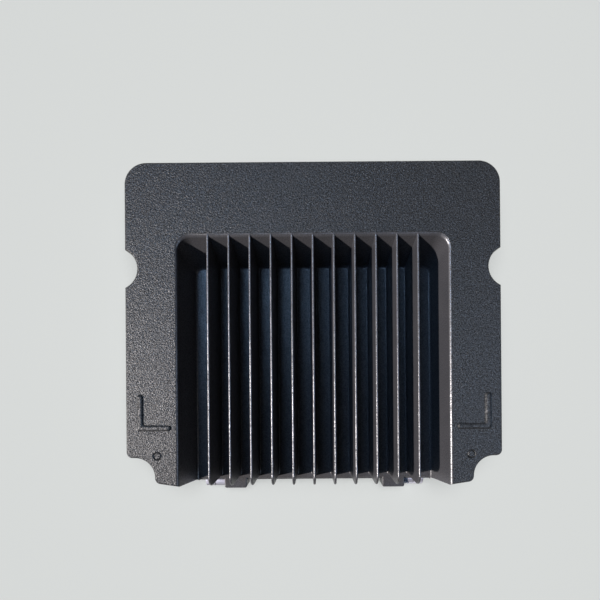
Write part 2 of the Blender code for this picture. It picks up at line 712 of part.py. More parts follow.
def transformer(number, x, materials):
    """A ferrite core in the form of a frame round one taped winding."""
    y = below(31.0 * MM)
    width = 32.0 * MM
    depth = 13.0 * MM
    height = 27.0 * MM
    yoke = 6.0 * MM
    core = box(f"transformer_core_{number}", (x - width / 2, y - depth / 2, PART_Z),
               (x + width / 2, y + depth / 2, PART_Z + height), materials["ferrite"])
    window = box(f"cut_window_{number}", (x - width / 2 + yoke, y - depth, PART_Z + yoke),
                 (x + width / 2 - yoke, y + depth, PART_Z + height - yoke), materials["ferrite"])
    cut(core, window)

    coil_half = width / 2 - yoke - GAP
    low_z = PART_Z + yoke + GAP
    high_z = PART_Z + height - yoke - GAP
    outline = arc(x, y, 12.5 * MM, 0, 337.5, 15)
    outline = [(max(x - coil_half, min(x + coil_half, px)), py) for px, py in outline]
    prism(f"transformer_winding_{number}", outline, low_z, high_z, materials["winding_tape"])


def output_choke(materials):
    """A wound ring core, lying flat behind the AC socket."""
    centre = (AC_SOCKET_X, below(33.0 * MM), PART_Z)
    profile = [
        (0.0, 6.0 * MM),
        (0.0, 10.5 * MM),
        (2.5 * MM, 13.0 * MM),
        (11.5 * MM, 13.0 * MM),
        (14.0 * MM, 10.5 * MM),
        (14.0 * MM, 6.0 * MM),
    ]
    turned("output_choke", profile, centre, Z_AXIS, materials["copper_wire"], hollow=True, steps=20)


def block(name, x, down, size, material, low_z=PART_Z):
    width, depth, height = size
    low = (x - width / 2, below(down) - depth / 2, low_z)
    high = (x + width / 2, below(down) + depth / 2, low_z + height)
    box(name, low, high, material)


def board_blocks(materials):
    """Relays, film capacitor, control module and the switches under the bay's floor."""
    relay_size = (10.0 * MM, 24.0 * MM, 15.0 * MM)
    block("relay_1", 86.0 * MM, 33.0 * MM, relay_size, materials["case_plastic"])
    block("relay_2", 98.0 * MM, 33.0 * MM, relay_size, materials["case_plastic"])
    block("film_capacitor", 105.0 * MM, 100.0 * MM, (13.0 * MM, 32.0 * MM, 24.0 * MM), materials["film_box"])
    module_size = (12.0 * MM, 40.0 * MM, 5.0 * MM)
    block("control_module", -105.0 * MM, 120.0 * MM, module_size, materials["shield_can"])

    switch_size = (120.0 * MM, 16.0 * MM, 3.0 * MM)
    block("switch_module_1", 0.0, 90.0 * MM, switch_size, materials["case_plastic"])
    block("switch_module_2", 0.0, 150.0 * MM, switch_size, materials["case_plastic"])
    pad_z = PART_Z + switch_size[2] + GAP
    pad_height = FLOOR_Z - WALL - GAP - pad_z
    pad_size = (130.0 * MM, 90.0 * MM, pad_height)
    block("thermal_pad", 0.0, 120.0 * MM, pad_size, materials["thermal_pad"], pad_z)


def main():
    for old in list(bpy.data.objects):
        bpy.data.objects.remove(old, do_unlink=True)
    materials = make_materials()
    heatsink_housing(materials)
    back_cover(materials)
    cover_seal(materials)
    cover_screws(materials)
    lug_fasteners(materials)
    dc_sockets(materials)
    ac_outlet(materials)
    small_fittings(materials)
    main_board(materials)
    board_screws(materials)
    dc_capacitors(materials)
    transformer(1, -22.0 * MM, materials)
    transformer(2, 16.0 * MM, materials)
    output_choke(materials)
    board_blocks(materials)


main()
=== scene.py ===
"""Looks of the micro inverter: a black grain-coated casting with a bay of cooling fins.

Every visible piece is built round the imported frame, in metres, with the inverter lying on its
back cover: +Z out of the fins, +Y to the socket edge, +X to the right.
"""
import math

import bmesh
import bpy
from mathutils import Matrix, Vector


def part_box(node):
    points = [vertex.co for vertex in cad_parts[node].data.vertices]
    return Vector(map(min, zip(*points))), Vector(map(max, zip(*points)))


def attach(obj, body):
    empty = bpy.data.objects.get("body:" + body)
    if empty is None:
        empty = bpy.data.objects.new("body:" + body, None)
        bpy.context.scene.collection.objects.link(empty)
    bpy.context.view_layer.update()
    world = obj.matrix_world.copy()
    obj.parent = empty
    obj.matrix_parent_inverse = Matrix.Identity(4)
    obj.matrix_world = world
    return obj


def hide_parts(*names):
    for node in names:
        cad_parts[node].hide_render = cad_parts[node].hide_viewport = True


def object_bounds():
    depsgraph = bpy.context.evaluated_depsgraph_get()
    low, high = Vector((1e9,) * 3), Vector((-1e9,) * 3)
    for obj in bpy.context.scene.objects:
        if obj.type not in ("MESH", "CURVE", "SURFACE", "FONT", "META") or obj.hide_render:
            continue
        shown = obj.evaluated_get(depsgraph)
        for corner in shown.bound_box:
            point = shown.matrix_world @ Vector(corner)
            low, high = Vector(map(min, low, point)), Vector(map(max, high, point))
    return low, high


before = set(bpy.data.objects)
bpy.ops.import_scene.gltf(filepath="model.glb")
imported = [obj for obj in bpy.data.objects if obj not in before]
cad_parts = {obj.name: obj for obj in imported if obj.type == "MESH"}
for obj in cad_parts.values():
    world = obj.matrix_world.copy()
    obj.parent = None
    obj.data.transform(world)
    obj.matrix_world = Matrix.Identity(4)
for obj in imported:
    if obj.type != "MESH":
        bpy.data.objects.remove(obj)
cad_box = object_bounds()

MM = 0.001
GAP = 0.3 * MM
X_AXIS = Vector((1, 0, 0))
Y_AXIS = Vector((0, 1, 0))
Z_AXIS = Vector((0, 0, 1))

# ---------------------------------------------------------------- sizes, anchored to the frame

HOUSING_LOW, HOUSING_HIGH = (Vector(corner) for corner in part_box("heatsink_housing"))
COVER_HIGH = Vector(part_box("back_cover")[1])

SIDE_DRAFT = 1.2 * MM
PLATE_WIDTH = HOUSING_HIGH.x - HOUSING_LOW.x - 2 * SIDE_DRAFT
PLATE_TOP = HOUSING_HIGH.y - SIDE_DRAFT
# (inset, height over the plate, corner radius) up an L rib's soft slope, in millimetres
RIB_SLOPE = [
    (0.0, -0.3, 1.6),
    (0.0, 0.0, 1.6),
    (0.2, 0.4, 1.5),
    (0.45, 0.8, 1.3),
    (0.7, 1.0, 1.1),
    (1.0, 1.15, 0.8),
    (1.35, 1.25, 0.5),
    (1.7, 1.3, 0.2),
]
RIB_HEIGHT = RIB_SLOPE[-1][1] * MM
FRONT_Z = HOUSING_HIGH.z - RIB_HEIGHT
RIM_Z = 3.4 * MM
FLOOR_Z = 14.0 * MM
WALL = 3.0 * MM
EDGE_RADIUS = 1.4 * MM

CORNER_RADIUS = 14.6 * MM
NOTCH_RADIUS = 13.8 * MM
NOTCH_X = 130.8 * MM
NOTCH_BELOW = 70.4 * MM
CUT_RADIUS = 13.3 * MM
CUT_X = 119.5 * MM
CUT_BELOW = 209.8 * MM
CUT_CORNER_RADIUS = 4.0 * MM
LEG_CORNER_RADIUS = 4.0 * MM
LEG_CORNER_BELOW = 210.0 * MM
LEG_CORNER_TURN = 82.0
LEG_END_BELOW = 215.8 * MM
FLOOR_END_BELOW = 218.5 * MM
LUG_END_BELOW = 225.5 * MM

BAY_HALF_FRONT = 90.4 * MM
BAY_HALF_FOOT = 86.6 * MM         # where the side walls' lean meets the floor's level
BAY_FLOOR_END_INSET = 1.0 * MM    # the open end's corners stand this far inside the side walls
BAY_TOP_FRONT_BELOW = 49.2 * MM
BAY_TOP_FOOT_BELOW = 62.6 * MM
BAY_CORNER_FRONT = 9.0 * MM
BAY_CORNER_FOOT = 6.0 * MM
BAY_SIDE_RIM = 1.5 * MM           # fillet radius along the bay's side rims
BAY_TOP_RIM = 2.0 * MM
BAY_FLOOR_FILLET = 1.6 * MM
BAY_TOOL_END_BELOW = 250.0 * MM   # well past the open end

FIN_COUNT = 11
FIN_PITCH = 14.0 * MM
FIN_TIP = 1.4 * MM
FIN_ROOT = 3.0 * MM
FIN_FILLET = 1.2 * MM
FIN_CHAMFER_BELOW = 208.3 * MM
FIN_END_BELOW = 216.7 * MM
FIN_CHAMFER_Z = 34.2 * MM
FIN_TIP_BELOW_FRONT = 0.1 * MM
FIN_BURIED = 1.6 * MM             # in the bay's top wall

RIB_WIDTH = 4.0 * MM
RIB_OUTER_X = 117.3 * MM
RIB_INNER_X = 95.0 * MM
RIB_TOP_BELOW = 154.3 * MM
RIB_BOTTOM_BELOW = 178.6 * MM

LUG_X = 58.4 * MM
LUG_WIDTH = 16.3 * MM
LUG_TOP_Z = 13.8 * MM
LUG_BASE_Z = 0.6 * MM
LUG_EDGE_RADIUS = 1.3 * MM
LIP_RADIUS = 1.6 * MM             # along the open end of the bay's floor
BOLT_RADIUS = 5.0 * MM
BOLT_SHANK_RADIUS = 3.0 * MM
BOLT_DEPTH = 12.0 * MM
SLEEVE_LENGTH = 7.4 * MM
BOLT_HEAD_LENGTH = 6.9 * MM
BOLT_EDGE_RADIUS = 0.45 * MM
BOLT_HEXAGON_RADIUS = 2.9 * MM
BOLT_Z = LUG_BASE_Z + BOLT_RADIUS
BOLT_Y = PLATE_TOP - LUG_END_BELOW + BOLT_RADIUS
BOLT_POCKET_TOP_Z = BOLT_Z + BOLT_RADIUS + GAP

# (x, distance below the top edge) of the screws that hold the cover and the board
COVER_SCREWS = [
    (-115.0 * MM, 11.0 * MM),
    (115.0 * MM, 11.0 * MM),
    (-117.0 * MM, 110.0 * MM),
    (117.0 * MM, 110.0 * MM),
    (-98.0 * MM, 206.5 * MM),
    (98.0 * MM, 206.5 * MM),
    (0.0, 7.5 * MM),
    (0.0, 208.0 * MM),
]
BOARD_SCREWS = [
    (-104.0 * MM, 62.0 * MM),
    (104.0 * MM, 62.0 * MM),
    (-98.0 * MM, 182.0 * MM),
    (98.0 * MM, 182.0 * MM),
]
SCREW_RADIUS = 1.25 * MM
SCREW_LENGTH = 11.0 * MM
SCREW_HEAD_RADIUS = 2.8 * MM
SCREW_BOSS_RADIUS = 4.2 * MM
SCREW_PITCH = 0.5 * MM
SEAL_OUTER_INSET = 0.7 * MM
SEAL_INNER_INSET = 2.9 * MM
SEAL_HEIGHT = 0.8 * MM
BOARD_POST_RADIUS = 3.5 * MM
BOARD_PART_Z = 6.9 * MM

SOCKET_Z = 11.5 * MM
DC_SOCKET_X = [-92.0 * MM, -70.0 * MM, -46.0 * MM, -24.0 * MM]
AC_SOCKET_X = 62.0 * MM
LIGHT_X = 8.0 * MM
VENT_X = 30.0 * MM
EARTH_X = 96.0 * MM
DC_BARREL_RADIUS = 5.0 * MM
AC_BARREL_RADIUS = 6.4 * MM
LIGHT_BARREL_RADIUS = 2.0 * MM
VENT_BARREL_RADIUS = 3.0 * MM
EARTH_SHANK_RADIUS = 2.2 * MM
SOCKET_FACE_Y = PLATE_TOP + SIDE_DRAFT + GAP
SOCKET_REACH = 11.5 * MM          # from the flange's back to the socket's mouth
CONTACT_SETBACK = 7.0 * MM
CONTACT_CIRCLE = 3.0 * MM
WALL_INNER_Y = PLATE_TOP - WALL

RING_BORE = 7.9 * MM
RING_OUTER = 9.4 * MM
RING_START = 2.3 * MM             # from the flange's back
RING_END = SOCKET_REACH - 2.0 * MM
RING_EDGE_RADIUS = 0.5 * MM
FLUTE_COUNT = 10
FLUTE_DEPTH = 0.75 * MM

CAMERA_HEIGHT = 241.0 * MM        # above the front plate
FRAME_WIDTH = 397.8 * MM          # seen at the front plate's level
CAMERA_BELOW = 140.0 * MM         # the camera stands over this point of the plate
CAMERA_ROLL = -0.45               # degrees
FRAME_CENTRE_X = -9.1 * MM
FRAME_CENTRE_BELOW = 92.3 * MM
FLOOR_HALF_SIZE = 3.0

SHARP_ANGLE = 35.0                # edges that turn by more degrees than this stay crisp


def below(distance):
    """The y of a point at this distance below the plate's top edge."""
    return PLATE_TOP - distance


# ---------------------------------------------------------------- shape tools

def finish_mesh(name, mesh_data, material, sharp=SHARP_ANGLE):
    """A smooth-shaded piece from a bmesh, with the edges over the given angle left crisp."""
    bmesh.ops.recalc_face_normals(mesh_data, faces=mesh_data.faces[:])
    mesh = bpy.data.meshes.new(name)
    mesh_data.to_mesh(mesh)
    mesh_data.free()
    mesh.shade_smooth()
    mesh.set_sharp_from_angle(angle=math.radians(sharp))
    if material is not None:
        mesh.materials.append(material)
    piece = bpy.data.objects.new(name, mesh)
    bpy.context.scene.collection.objects.link(piece)
    return piece


def skin_rings(mesh_data, rings, hollow=False):
    """A skin over rings of points, closed by end caps or, if hollow, back onto its first ring."""
    loops = [[mesh_data.verts.new(point) for point in ring] for ring in rings]
    pairs = list(zip(loops, loops[1:]))
    if hollow:
        pairs.append((loops[-1], loops[0]))
    for lower, upper in pairs:
        count = len(lower)
        for i in range(count):
            j = (i + 1) % count
            mesh_data.faces.new((lower[i], lower[j], upper[j], upper[i]))
    if not hollow:
        mesh_data.faces.new(list(reversed(loops[0])))
        mesh_data.faces.new(loops[-1])


def loft(name, sections):
    """A closed piece through (outline, height) sections."""
    mesh_data = bmesh.new()
    skin_rings(mesh_data, [[(x, y, z) for x, y in outline] for outline, z in sections])
    return finish_mesh(name, mesh_data, None)


def turned(name, profile, base, axis, material=None, hollow=False, steps=48):
    """A turned piece from (distance along the axis, radius) pairs."""
    turn = Z_AXIS.rotation_difference(axis)
    mesh_data = bmesh.new()
    rings = []
    for along, radius in profile:
        ring = []
        for i in range(steps):
            angle = 2 * math.pi * (i + 0.5) / steps
            spoke = Vector((radius * math.cos(angle), radius * math.sin(angle), along))
            ring.append(Vector(base) + turn @ spoke)
        rings.append(ring)
    skin_rings(mesh_data, rings, hollow)
    return finish_mesh(name, mesh_data, material)


def merged(name, pieces):
    """One piece from several that don't touch; they are removed."""
    mesh_data = bmesh.new()
    for piece in pieces:
        mesh_data.from_mesh(piece.data)
        bpy.data.objects.remove(piece)
    return finish_mesh(name, mesh_data, None)


def carve(piece, tool, operation="DIFFERENCE"):
    """Cut or add the tool for good, and remove it."""
    modifier = piece.modifiers.new("carve", "BOOLEAN")
    modifier.operation = operation
    modifier.solver = "EXACT"
    modifier.object = tool
    bpy.context.view_layer.update()
    evaluated = piece.evaluated_get(bpy.context.evaluated_depsgraph_get())
    mesh = bpy.data.meshes.new_from_object(evaluated)
    piece.modifiers.clear()
    piece.data = mesh
    bpy.data.objects.remove(tool)


def refinish(piece, material):
    """One material on a carved piece; crisp corners, and flat shading up to the fillets."""
    piece.data.materials.clear()
    piece.data.materials.append(material)
    piece.data.shade_smooth()
    piece.data.set_sharp_from_angle(angle=math.radians(SHARP_ANGLE))
    weighted = piece.modifiers.new("weighted_normals", "WEIGHTED_NORMAL")
    weighted.weight = 100
    weighted.keep_sharp = True


def arc(centre_x, centre_y, radius, start, end, steps):
    """Points along an arc between two angles in degrees, ends included."""
    points = []
    for i in range(steps + 1):
        angle = math.radians(start + (end - start) * i / steps)
        points.append((centre_x + radius * math.cos(angle), centre_y + radius * math.sin(angle)))
    return points


def mirrored(right_half):
    """A closed outline from its right half, listed from the top down."""
    return right_half + [(-x, y) for x, y in reversed(right_half)]


def quarter(steps):
    """Angles of a quarter turn, in radians, ends included."""
    return [math.pi / 2 * i / steps for i in range(steps + 1)]


def near_rim(along, radius, edge):
    """The rounded rim at the near end of a turned piece."""
    return [(along + edge * (1 - math.cos(a)), radius - edge * (1 - math.sin(a))) for a in quarter(4)]


def far_rim(along, radius, edge):
    """The rounded rim at the far end of a turned piece."""
    return [(along - edge * (1 - math.sin(a)), radius - edge * (1 - math.cos(a))) for a in quarter(4)]


def dome(top, height, flat, reach, steps=6):
    """A turned piece's domed end: a flat of the given radius, and the curve down from it."""
    return [(top - height * (1 - math.sin(a)), flat + reach * math.cos(a)) for a in quarter(steps)]


def rounded(corners, radius, steps=6):
    """A closed outline with each corner turned into an arc of the given radius."""
    points = []
    count = len(corners)
    for i, corner in enumerate(corners):
        here = Vector(corner)
        before = (Vector(corners[i - 1]) - here).normalized()
        after = (Vector(corners[(i + 1) % count]) - here).normalized()
        half_angle = before.angle(after) / 2
        reach = radius / math.tan(half_angle)
        centre = here + (before + after).normalized() * radius / math.sin(half_angle)
        start = here + before * reach - centre
        end = here + after * reach - centre
        turn = start.angle_signed(end)
        for step in range(steps + 1):
            angle = -turn * step / steps
            spoke = Vector((start.x * math.cos(angle) - start.y * math.sin(angle),
                            start.x * math.sin(angle) + start.y * math.cos(angle)))
            points.append(tuple(centre + spoke))
    return points


def block(name, low, high, radius=0.0):
    """A box whose upright edges and top and bottom rims are rounded."""
    low = Vector(low)
    high = Vector(high)
    steps = 4

    def plan(inset):
        corners = [(low.x + inset, low.y + inset), (high.x - inset, low.y + inset),
                   (high.x - inset, high.y - inset), (low.x + inset, high.y - inset)]
        return rounded(corners, radius, steps) if radius > 0 else corners

    sections = [(plan(0.0), low.z), (plan(0.0), high.z)]
    if radius > 0:
        rim = radius * 0.6
        turn = quarter(steps)
        sections = [(plan(rim * (1 - math.sin(a))), low.z + rim * (1 - math.cos(a))) for a in turn]
        sections += [(plan(rim * (1 - math.cos(a))), high.z - rim * (1 - math.sin(a))) for a in turn]
    return loft(name, sections)


def dress(piece, body, nodes):
    """Ride the piece on its body and hide the nodes that it stands for."""
    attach(piece, body)
    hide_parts(*nodes)


# ---------------------------------------------------------------- outlines

def housing_outline(grow, middle_below=LEG_END_BELOW):
    """The plate's outline, grown outwards, with the bay's open end at middle_below."""
    half = PLATE_WIDTH / 2
    corner = half - CORNER_RADIUS
    points = arc(corner, below(CORNER_RADIUS), CORNER_RADIUS + grow, 90, 0, 24)

    notch_radius = NOTCH_RADIUS - grow
    opening = math.degrees(math.acos((NOTCH_X - half - grow) / notch_radius))
    points += arc(NOTCH_X, below(NOTCH_BELOW), notch_radius, 180 - opening, 180 + opening, 28)

    shoulder_y = below(CUT_BELOW - CUT_RADIUS)
    corner_y = shoulder_y + CUT_CORNER_RADIUS
    points += arc(half - CUT_CORNER_RADIUS, corner_y, CUT_CORNER_RADIUS + grow, 0, -90, 10)
    points += arc(CUT_X, below(CUT_BELOW), CUT_RADIUS - grow, 90, 180, 18)

    leg_x = CUT_X - CUT_RADIUS - LEG_CORNER_RADIUS
    points += arc(leg_x, below(LEG_CORNER_BELOW), LEG_CORNER_RADIUS + grow, 0, -LEG_CORNER_TURN, 10)
    points.append((BAY_HALF_FRONT, below(LEG_END_BELOW) - grow))
    points.append((BAY_HALF_FOOT - BAY_FLOOR_END_INSET, below(middle_below) - grow))
    return mirrored(points)


def bay_section(z, wider=0.0, higher=0.0):
    """The bay's outline at height z, moved outwards at its sides and at its top."""
    share = (z - FLOOR_Z) / (FRONT_Z - FLOOR_Z)
    half = BAY_HALF_FOOT + (BAY_HALF_FRONT - BAY_HALF_FOOT) * share + wider
    top = BAY_TOP_FOOT_BELOW + (BAY_TOP_FRONT_BELOW - BAY_TOP_FOOT_BELOW) * share - higher
    corner = BAY_CORNER_FOOT + (BAY_CORNER_FRONT - BAY_CORNER_FOOT) * share + min(wider, higher)
    points = arc(half - corner, below(top + corner), corner, 90, 0, 16)
    points.append((half, below(BAY_TOOL_END_BELOW)))
    return mirrored(points), z


# ---------------------------------------------------------------- housing

def outer_shell():
    """The casting's outside, leaning in towards a rounded front edge."""
    sections = [
        (housing_outline(SIDE_DRAFT - 0.4 * MM, FLOOR_END_BELOW), RIM_Z),
        (housing_outline(SIDE_DRAFT, FLOOR_END_BELOW), RIM_Z + 0.4 * MM),
    ]
    for angle in quarter(8):
        grow = -EDGE_RADIUS * (1 - math.cos(angle))
        z = FRONT_Z - EDGE_RADIUS * (1 - math.sin(angle))
        sections.append((housing_outline(grow, FLOOR_END_BELOW), z))
    return loft("housing", sections)


def bay_tool():
    """The fin bay, with a floor fillet at its foot and a flared rim."""
    sections = []
    for angle in quarter(8):
        shrink = BAY_FLOOR_FILLET * (1 - math.sin(angle))
        z = FLOOR_Z + BAY_FLOOR_FILLET * (1 - math.cos(angle))
        sections.append(bay_section(z, -shrink, -shrink))
    for angle in quarter(10)[:-1]:
        z = FRONT_Z - BAY_SIDE_RIM * (1 - math.sin(angle))
        wider = BAY_SIDE_RIM * (1 - math.cos(angle))
        rise = max(0.0, z - (FRONT_Z - BAY_TOP_RIM)) / BAY_TOP_RIM
        higher = BAY_TOP_RIM * (1 - math.sqrt(max(0.0, 1 - rise * rise)))
        sections.append(bay_section(z, wider, higher))
    sections.append(bay_section(FRONT_Z + 0.02 * MM, BAY_SIDE_RIM, BAY_TOP_RIM))
    sections.append(bay_section(FRONT_Z + 2.0 * MM, BAY_SIDE_RIM, BAY_TOP_RIM))
    return loft("bay_tool", sections)


def fin_ring(x, z, thickness):
    """A fin's plan at height z: round at the open end, buried in the top wall at the other."""
    share = (z - FLOOR_Z) / (FRONT_Z - FLOOR_Z)
    top = BAY_TOP_FOOT_BELOW + (BAY_TOP_FRONT_BELOW - BAY_TOP_FOOT_BELOW) * share - FIN_BURIED
    end = FIN_END_BELOW
    if z > FIN_CHAMFER_Z:
        rise = min(1.0, (z - FIN_CHAMFER_Z) / (FRONT_Z - FIN_CHAMFER_Z))
        end -= (FIN_END_BELOW - FIN_CHAMFER_BELOW) * (1 - math.sqrt(max(0.0, 1 - rise ** 2.2)))
    half = thickness / 2
    points = arc(x, below(end) + half, half, 0, -180, 10)
    points.append((x - half, below(top)))
    points.append((x + half, below(top)))
    return points, z


def fin_tool(index):
    """A tapered fin with a fillet at its root and a round tip."""
    x = (index - (FIN_COUNT - 1) / 2) * FIN_PITCH
    tip_z = FRONT_Z - FIN_TIP_BELOW_FRONT
    tip_radius = FIN_TIP / 2

    def blade(z):
        share = (z - FLOOR_Z) / (FRONT_Z - FLOOR_Z)
        return FIN_ROOT + (FIN_TIP - FIN_ROOT) * share

    sections = [fin_ring(x, FLOOR_Z - 1.2 * MM, blade(FLOOR_Z) + 1.6 * FIN_FILLET)]
    for angle in quarter(6):
        # a little less than a full quarter turn, so that the fillet has no feather edge
        lean = angle * 0.94 + 0.09
        z = FLOOR_Z + FIN_FILLET * (1 - math.cos(lean))
        flare = FIN_FILLET * (1 - math.sin(lean))
        sections.append(fin_ring(x, z, blade(z) + 2 * flare))
    for i in range(1, 6):
        z = FLOOR_Z + FIN_FILLET + (FIN_CHAMFER_Z - FLOOR_Z - FIN_FILLET) * i / 5
        sections.append(fin_ring(x, z, blade(z)))
    for i in range(1, 11):
        z = FIN_CHAMFER_Z + (tip_z - tip_radius - FIN_CHAMFER_Z) * i / 10
        sections.append(fin_ring(x, z, blade(z)))
    for angle in quarter(6)[1:-1]:
        z = tip_z - tip_radius * (1 - math.sin(angle))
        sections.append(fin_ring(x, z, FIN_TIP * math.cos(angle)))
    sections.append(fin_ring(x, tip_z, FIN_TIP * 0.12))
    return loft(f"fin_{index + 1}", sections)


def cavity_tool():
    """The space for the electronics, round the bay and low under its floor."""
    outline = housing_outline(-WALL)
    space = loft("cavity_tool", [(outline, -1.0 * MM), (outline, FRONT_Z - WALL)])
    bay = [bay_section(FLOOR_Z - WALL, WALL, WALL), bay_section(FRONT_Z + 1.0 * MM, WALL, WALL)]
    carve(space, loft("bay_block", bay))
    columns = []
    for x, down in COVER_SCREWS:
        profile = [(-2.0 * MM, SCREW_BOSS_RADIUS), (FRONT_Z, SCREW_BOSS_RADIUS)]
        columns.append(turned("boss", profile, (x, below(down), 0), Z_AXIS, steps=24))
    for x, down in BOARD_SCREWS:
        profile = [(BOARD_PART_Z, BOARD_POST_RADIUS), (FRONT_Z, BOARD_POST_RADIUS)]
        columns.append(turned("post", profile, (x, below(down), 0), Z_AXIS, steps=24))
    carve(space, merged("columns", columns))
    return space


def bore_tool():
    """Every screw bore, and the holes through the socket wall."""
    holes = []

    def drill(base, axis, length, radius):
        holes.append(turned("bore", [(0.0, radius), (length, radius)], base, axis, steps=24))

    for x, down in COVER_SCREWS:
        drill((x, below(down), 0), Z_AXIS, SCREW_LENGTH + 1.0 * MM, SCREW_RADIUS + GAP)
    for x, down in BOARD_SCREWS:
        drill((x, below(down), BOARD_PART_Z - 1.0 * MM), Z_AXIS, 9.0 * MM, SCREW_RADIUS + GAP)
    for sign in (-1, 1):
        start = (sign * (LUG_X + LUG_WIDTH / 2 + 1.0 * MM), BOLT_Y, BOLT_Z)
        drill(start, -sign * X_AXIS, BOLT_DEPTH + 2.0 * MM, BOLT_SHANK_RADIUS + GAP)
    wall_holes = [(x, DC_BARREL_RADIUS) for x in DC_SOCKET_X]
    wall_holes += [
        (AC_SOCKET_X, AC_BARREL_RADIUS),
        (LIGHT_X, LIGHT_BARREL_RADIUS),
        (VENT_X, VENT_BARREL_RADIUS),
        (EARTH_X, EARTH_SHANK_RADIUS),
    ]
    for x, radius in wall_holes:
        drill((x, WALL_INNER_Y - 1.0 * MM, SOCKET_Z), Y_AXIS, 8.0 * MM, radius + GAP)
    return merged("bores", holes)


def lug_tool(sign):
    """A cast lug with rounded edges; its upper end is buried in the lower wall."""
    inner_x = LUG_X - LUG_WIDTH / 2
    outer_x = LUG_X + LUG_WIDTH / 2
    low_x, high_x = sorted((sign * inner_x, sign * outer_x))
    low = (low_x, below(LUG_END_BELOW), LUG_BASE_Z)
    high = (high_x, below(FLOOR_END_BELOW - 3.0 * MM), LUG_TOP_Z)
    lug = block("lug", low, high, radius=LUG_EDGE_RADIUS)
    # the buried end stays clear of the cover and its seal
    step = block("lug_step", (low_x - 5.0 * MM, below(FLOOR_END_BELOW - 0.4 * MM), -5.0 * MM),
                 (high_x + 5.0 * MM, below(200.0 * MM), RIM_Z + 1.0 * MM))
    carve(lug, step)
    return lug


def bolt_pocket(sign):
    """Clears the sleeve and the bolt's head, which reach in under the bay's lower wall."""
    near = LUG_X + LUG_WIDTH / 2
    far = near + SLEEVE_LENGTH + BOLT_HEAD_LENGTH + 4 * GAP
    low_x, high_x = sorted((sign * near, sign * far))
    low = (low_x, below(LUG_END_BELOW + 5.0 * MM), -1.0 * MM)
    return block("bolt_pocket", low, (high_x, BOLT_Y + BOLT_RADIUS + GAP, BOLT_POCKET_TOP_Z))


def l_rib(sign):
    """A raised L with soft slopes."""
    top = below(RIB_TOP_BELOW)
    bottom = below(RIB_BOTTOM_BELOW)

    def plan(inset, radius):
        corners = [
            (RIB_OUTER_X - inset, top - inset),
            (RIB_OUTER_X - RIB_WIDTH + inset, top - inset),
            (RIB_OUTER_X - RIB_WIDTH + inset, bottom + RIB_WIDTH - inset),
            (RIB_INNER_X + inset, bottom + RIB_WIDTH - inset),
            (RIB_INNER_X + inset, bottom + inset),
            (RIB_OUTER_X - inset, bottom + inset),
        ]
        return [(sign * x, y) for x, y in rounded(corners, radius)]

    sections = []
    for inset, rise, radius in RIB_SLOPE:
        sections.append((plan(inset * MM, radius * MM), FRONT_Z + rise * MM))
    return loft("l_rib", sections)


def ring_mark(x, down, radius, half_width, depth):
    """A tool for one circular V groove, as an ejector pin leaves in a casting."""
    profile = [
        (depth, radius - half_width),
        (-depth, radius),
        (depth, radius + half_width),
    ]
    return turned("mark", profile, (x, below(down), FRONT_Z), Z_AXIS, hollow=True)


def ejector_marks():
    """Deep rings by the lower corners, and faint ones along the top edge."""
    marks = []
    for sign in (-1, 1):
        marks.append(ring_mark(sign * 104.3 * MM, 195.1 * MM, 2.4 * MM, 1.4 * MM, 0.7 * MM))
        marks.append(ring_mark(sign * 98.0 * MM, 6.4 * MM, 3.8 * MM, 0.35 * MM, 0.12 * MM))
    marks.append(ring_mark(-1.8 * MM, 6.6 * MM, 4.4 * MM, 0.35 * MM, 0.12 * MM))
    return merged("marks", marks)


def lip_tool():
    """Rounds the lower edge of the bay's floor."""
    end_y = below(FLOOR_END_BELOW)
    centre_y = end_y + LIP_RADIUS
    centre_z = FLOOR_Z - LIP_RADIUS
    profile = [(end_y - 3.0 * MM, FLOOR_Z + 3.0 * MM), (end_y - 3.0 * MM, centre_z)]
    for angle in quarter(6):
        y = centre_y - LIP_RADIUS * math.cos(angle)
        profile.append((y, centre_z + LIP_RADIUS * math.sin(angle)))
    profile.append((centre_y, FLOOR_Z + 3.0 * MM))
    half = BAY_HALF_FOOT - BAY_FLOOR_FILLET
    mesh_data = bmesh.new()
    skin_rings(mesh_data, [[(x, y, z) for y, z in profile] for x in (-half, half)])
    return finish_mesh("lip_tool", mesh_data, None)


def build_housing(material):
    """The casting: shell, bay, fins, L ribs, lugs, bosses and holes as one closed mesh."""
    housing = outer_shell()
    carve(housing, cavity_tool())
    carve(housing, bay_tool())
    carve(housing, lip_tool())
    carve(housing, ejector_marks())
    carve(housing, merged("fins", [fin_tool(index) for index in range(FIN_COUNT)]), "UNION")
    carve(housing, merged("lugs", [lug_tool(sign) for sign in (-1, 1)]), "UNION")
    carve(housing, merged("ribs", [l_rib(sign) for sign in (-1, 1)]), "UNION")
    carve(housing, merged("pockets", [bolt_pocket(sign) for sign in (-1, 1)]))
    carve(housing, bore_tool())
    refinish(housing, material)
    dress(housing, "inverter", ["heatsink_housing"])


# ---------------------------------------------------------------- cover, seal and screws

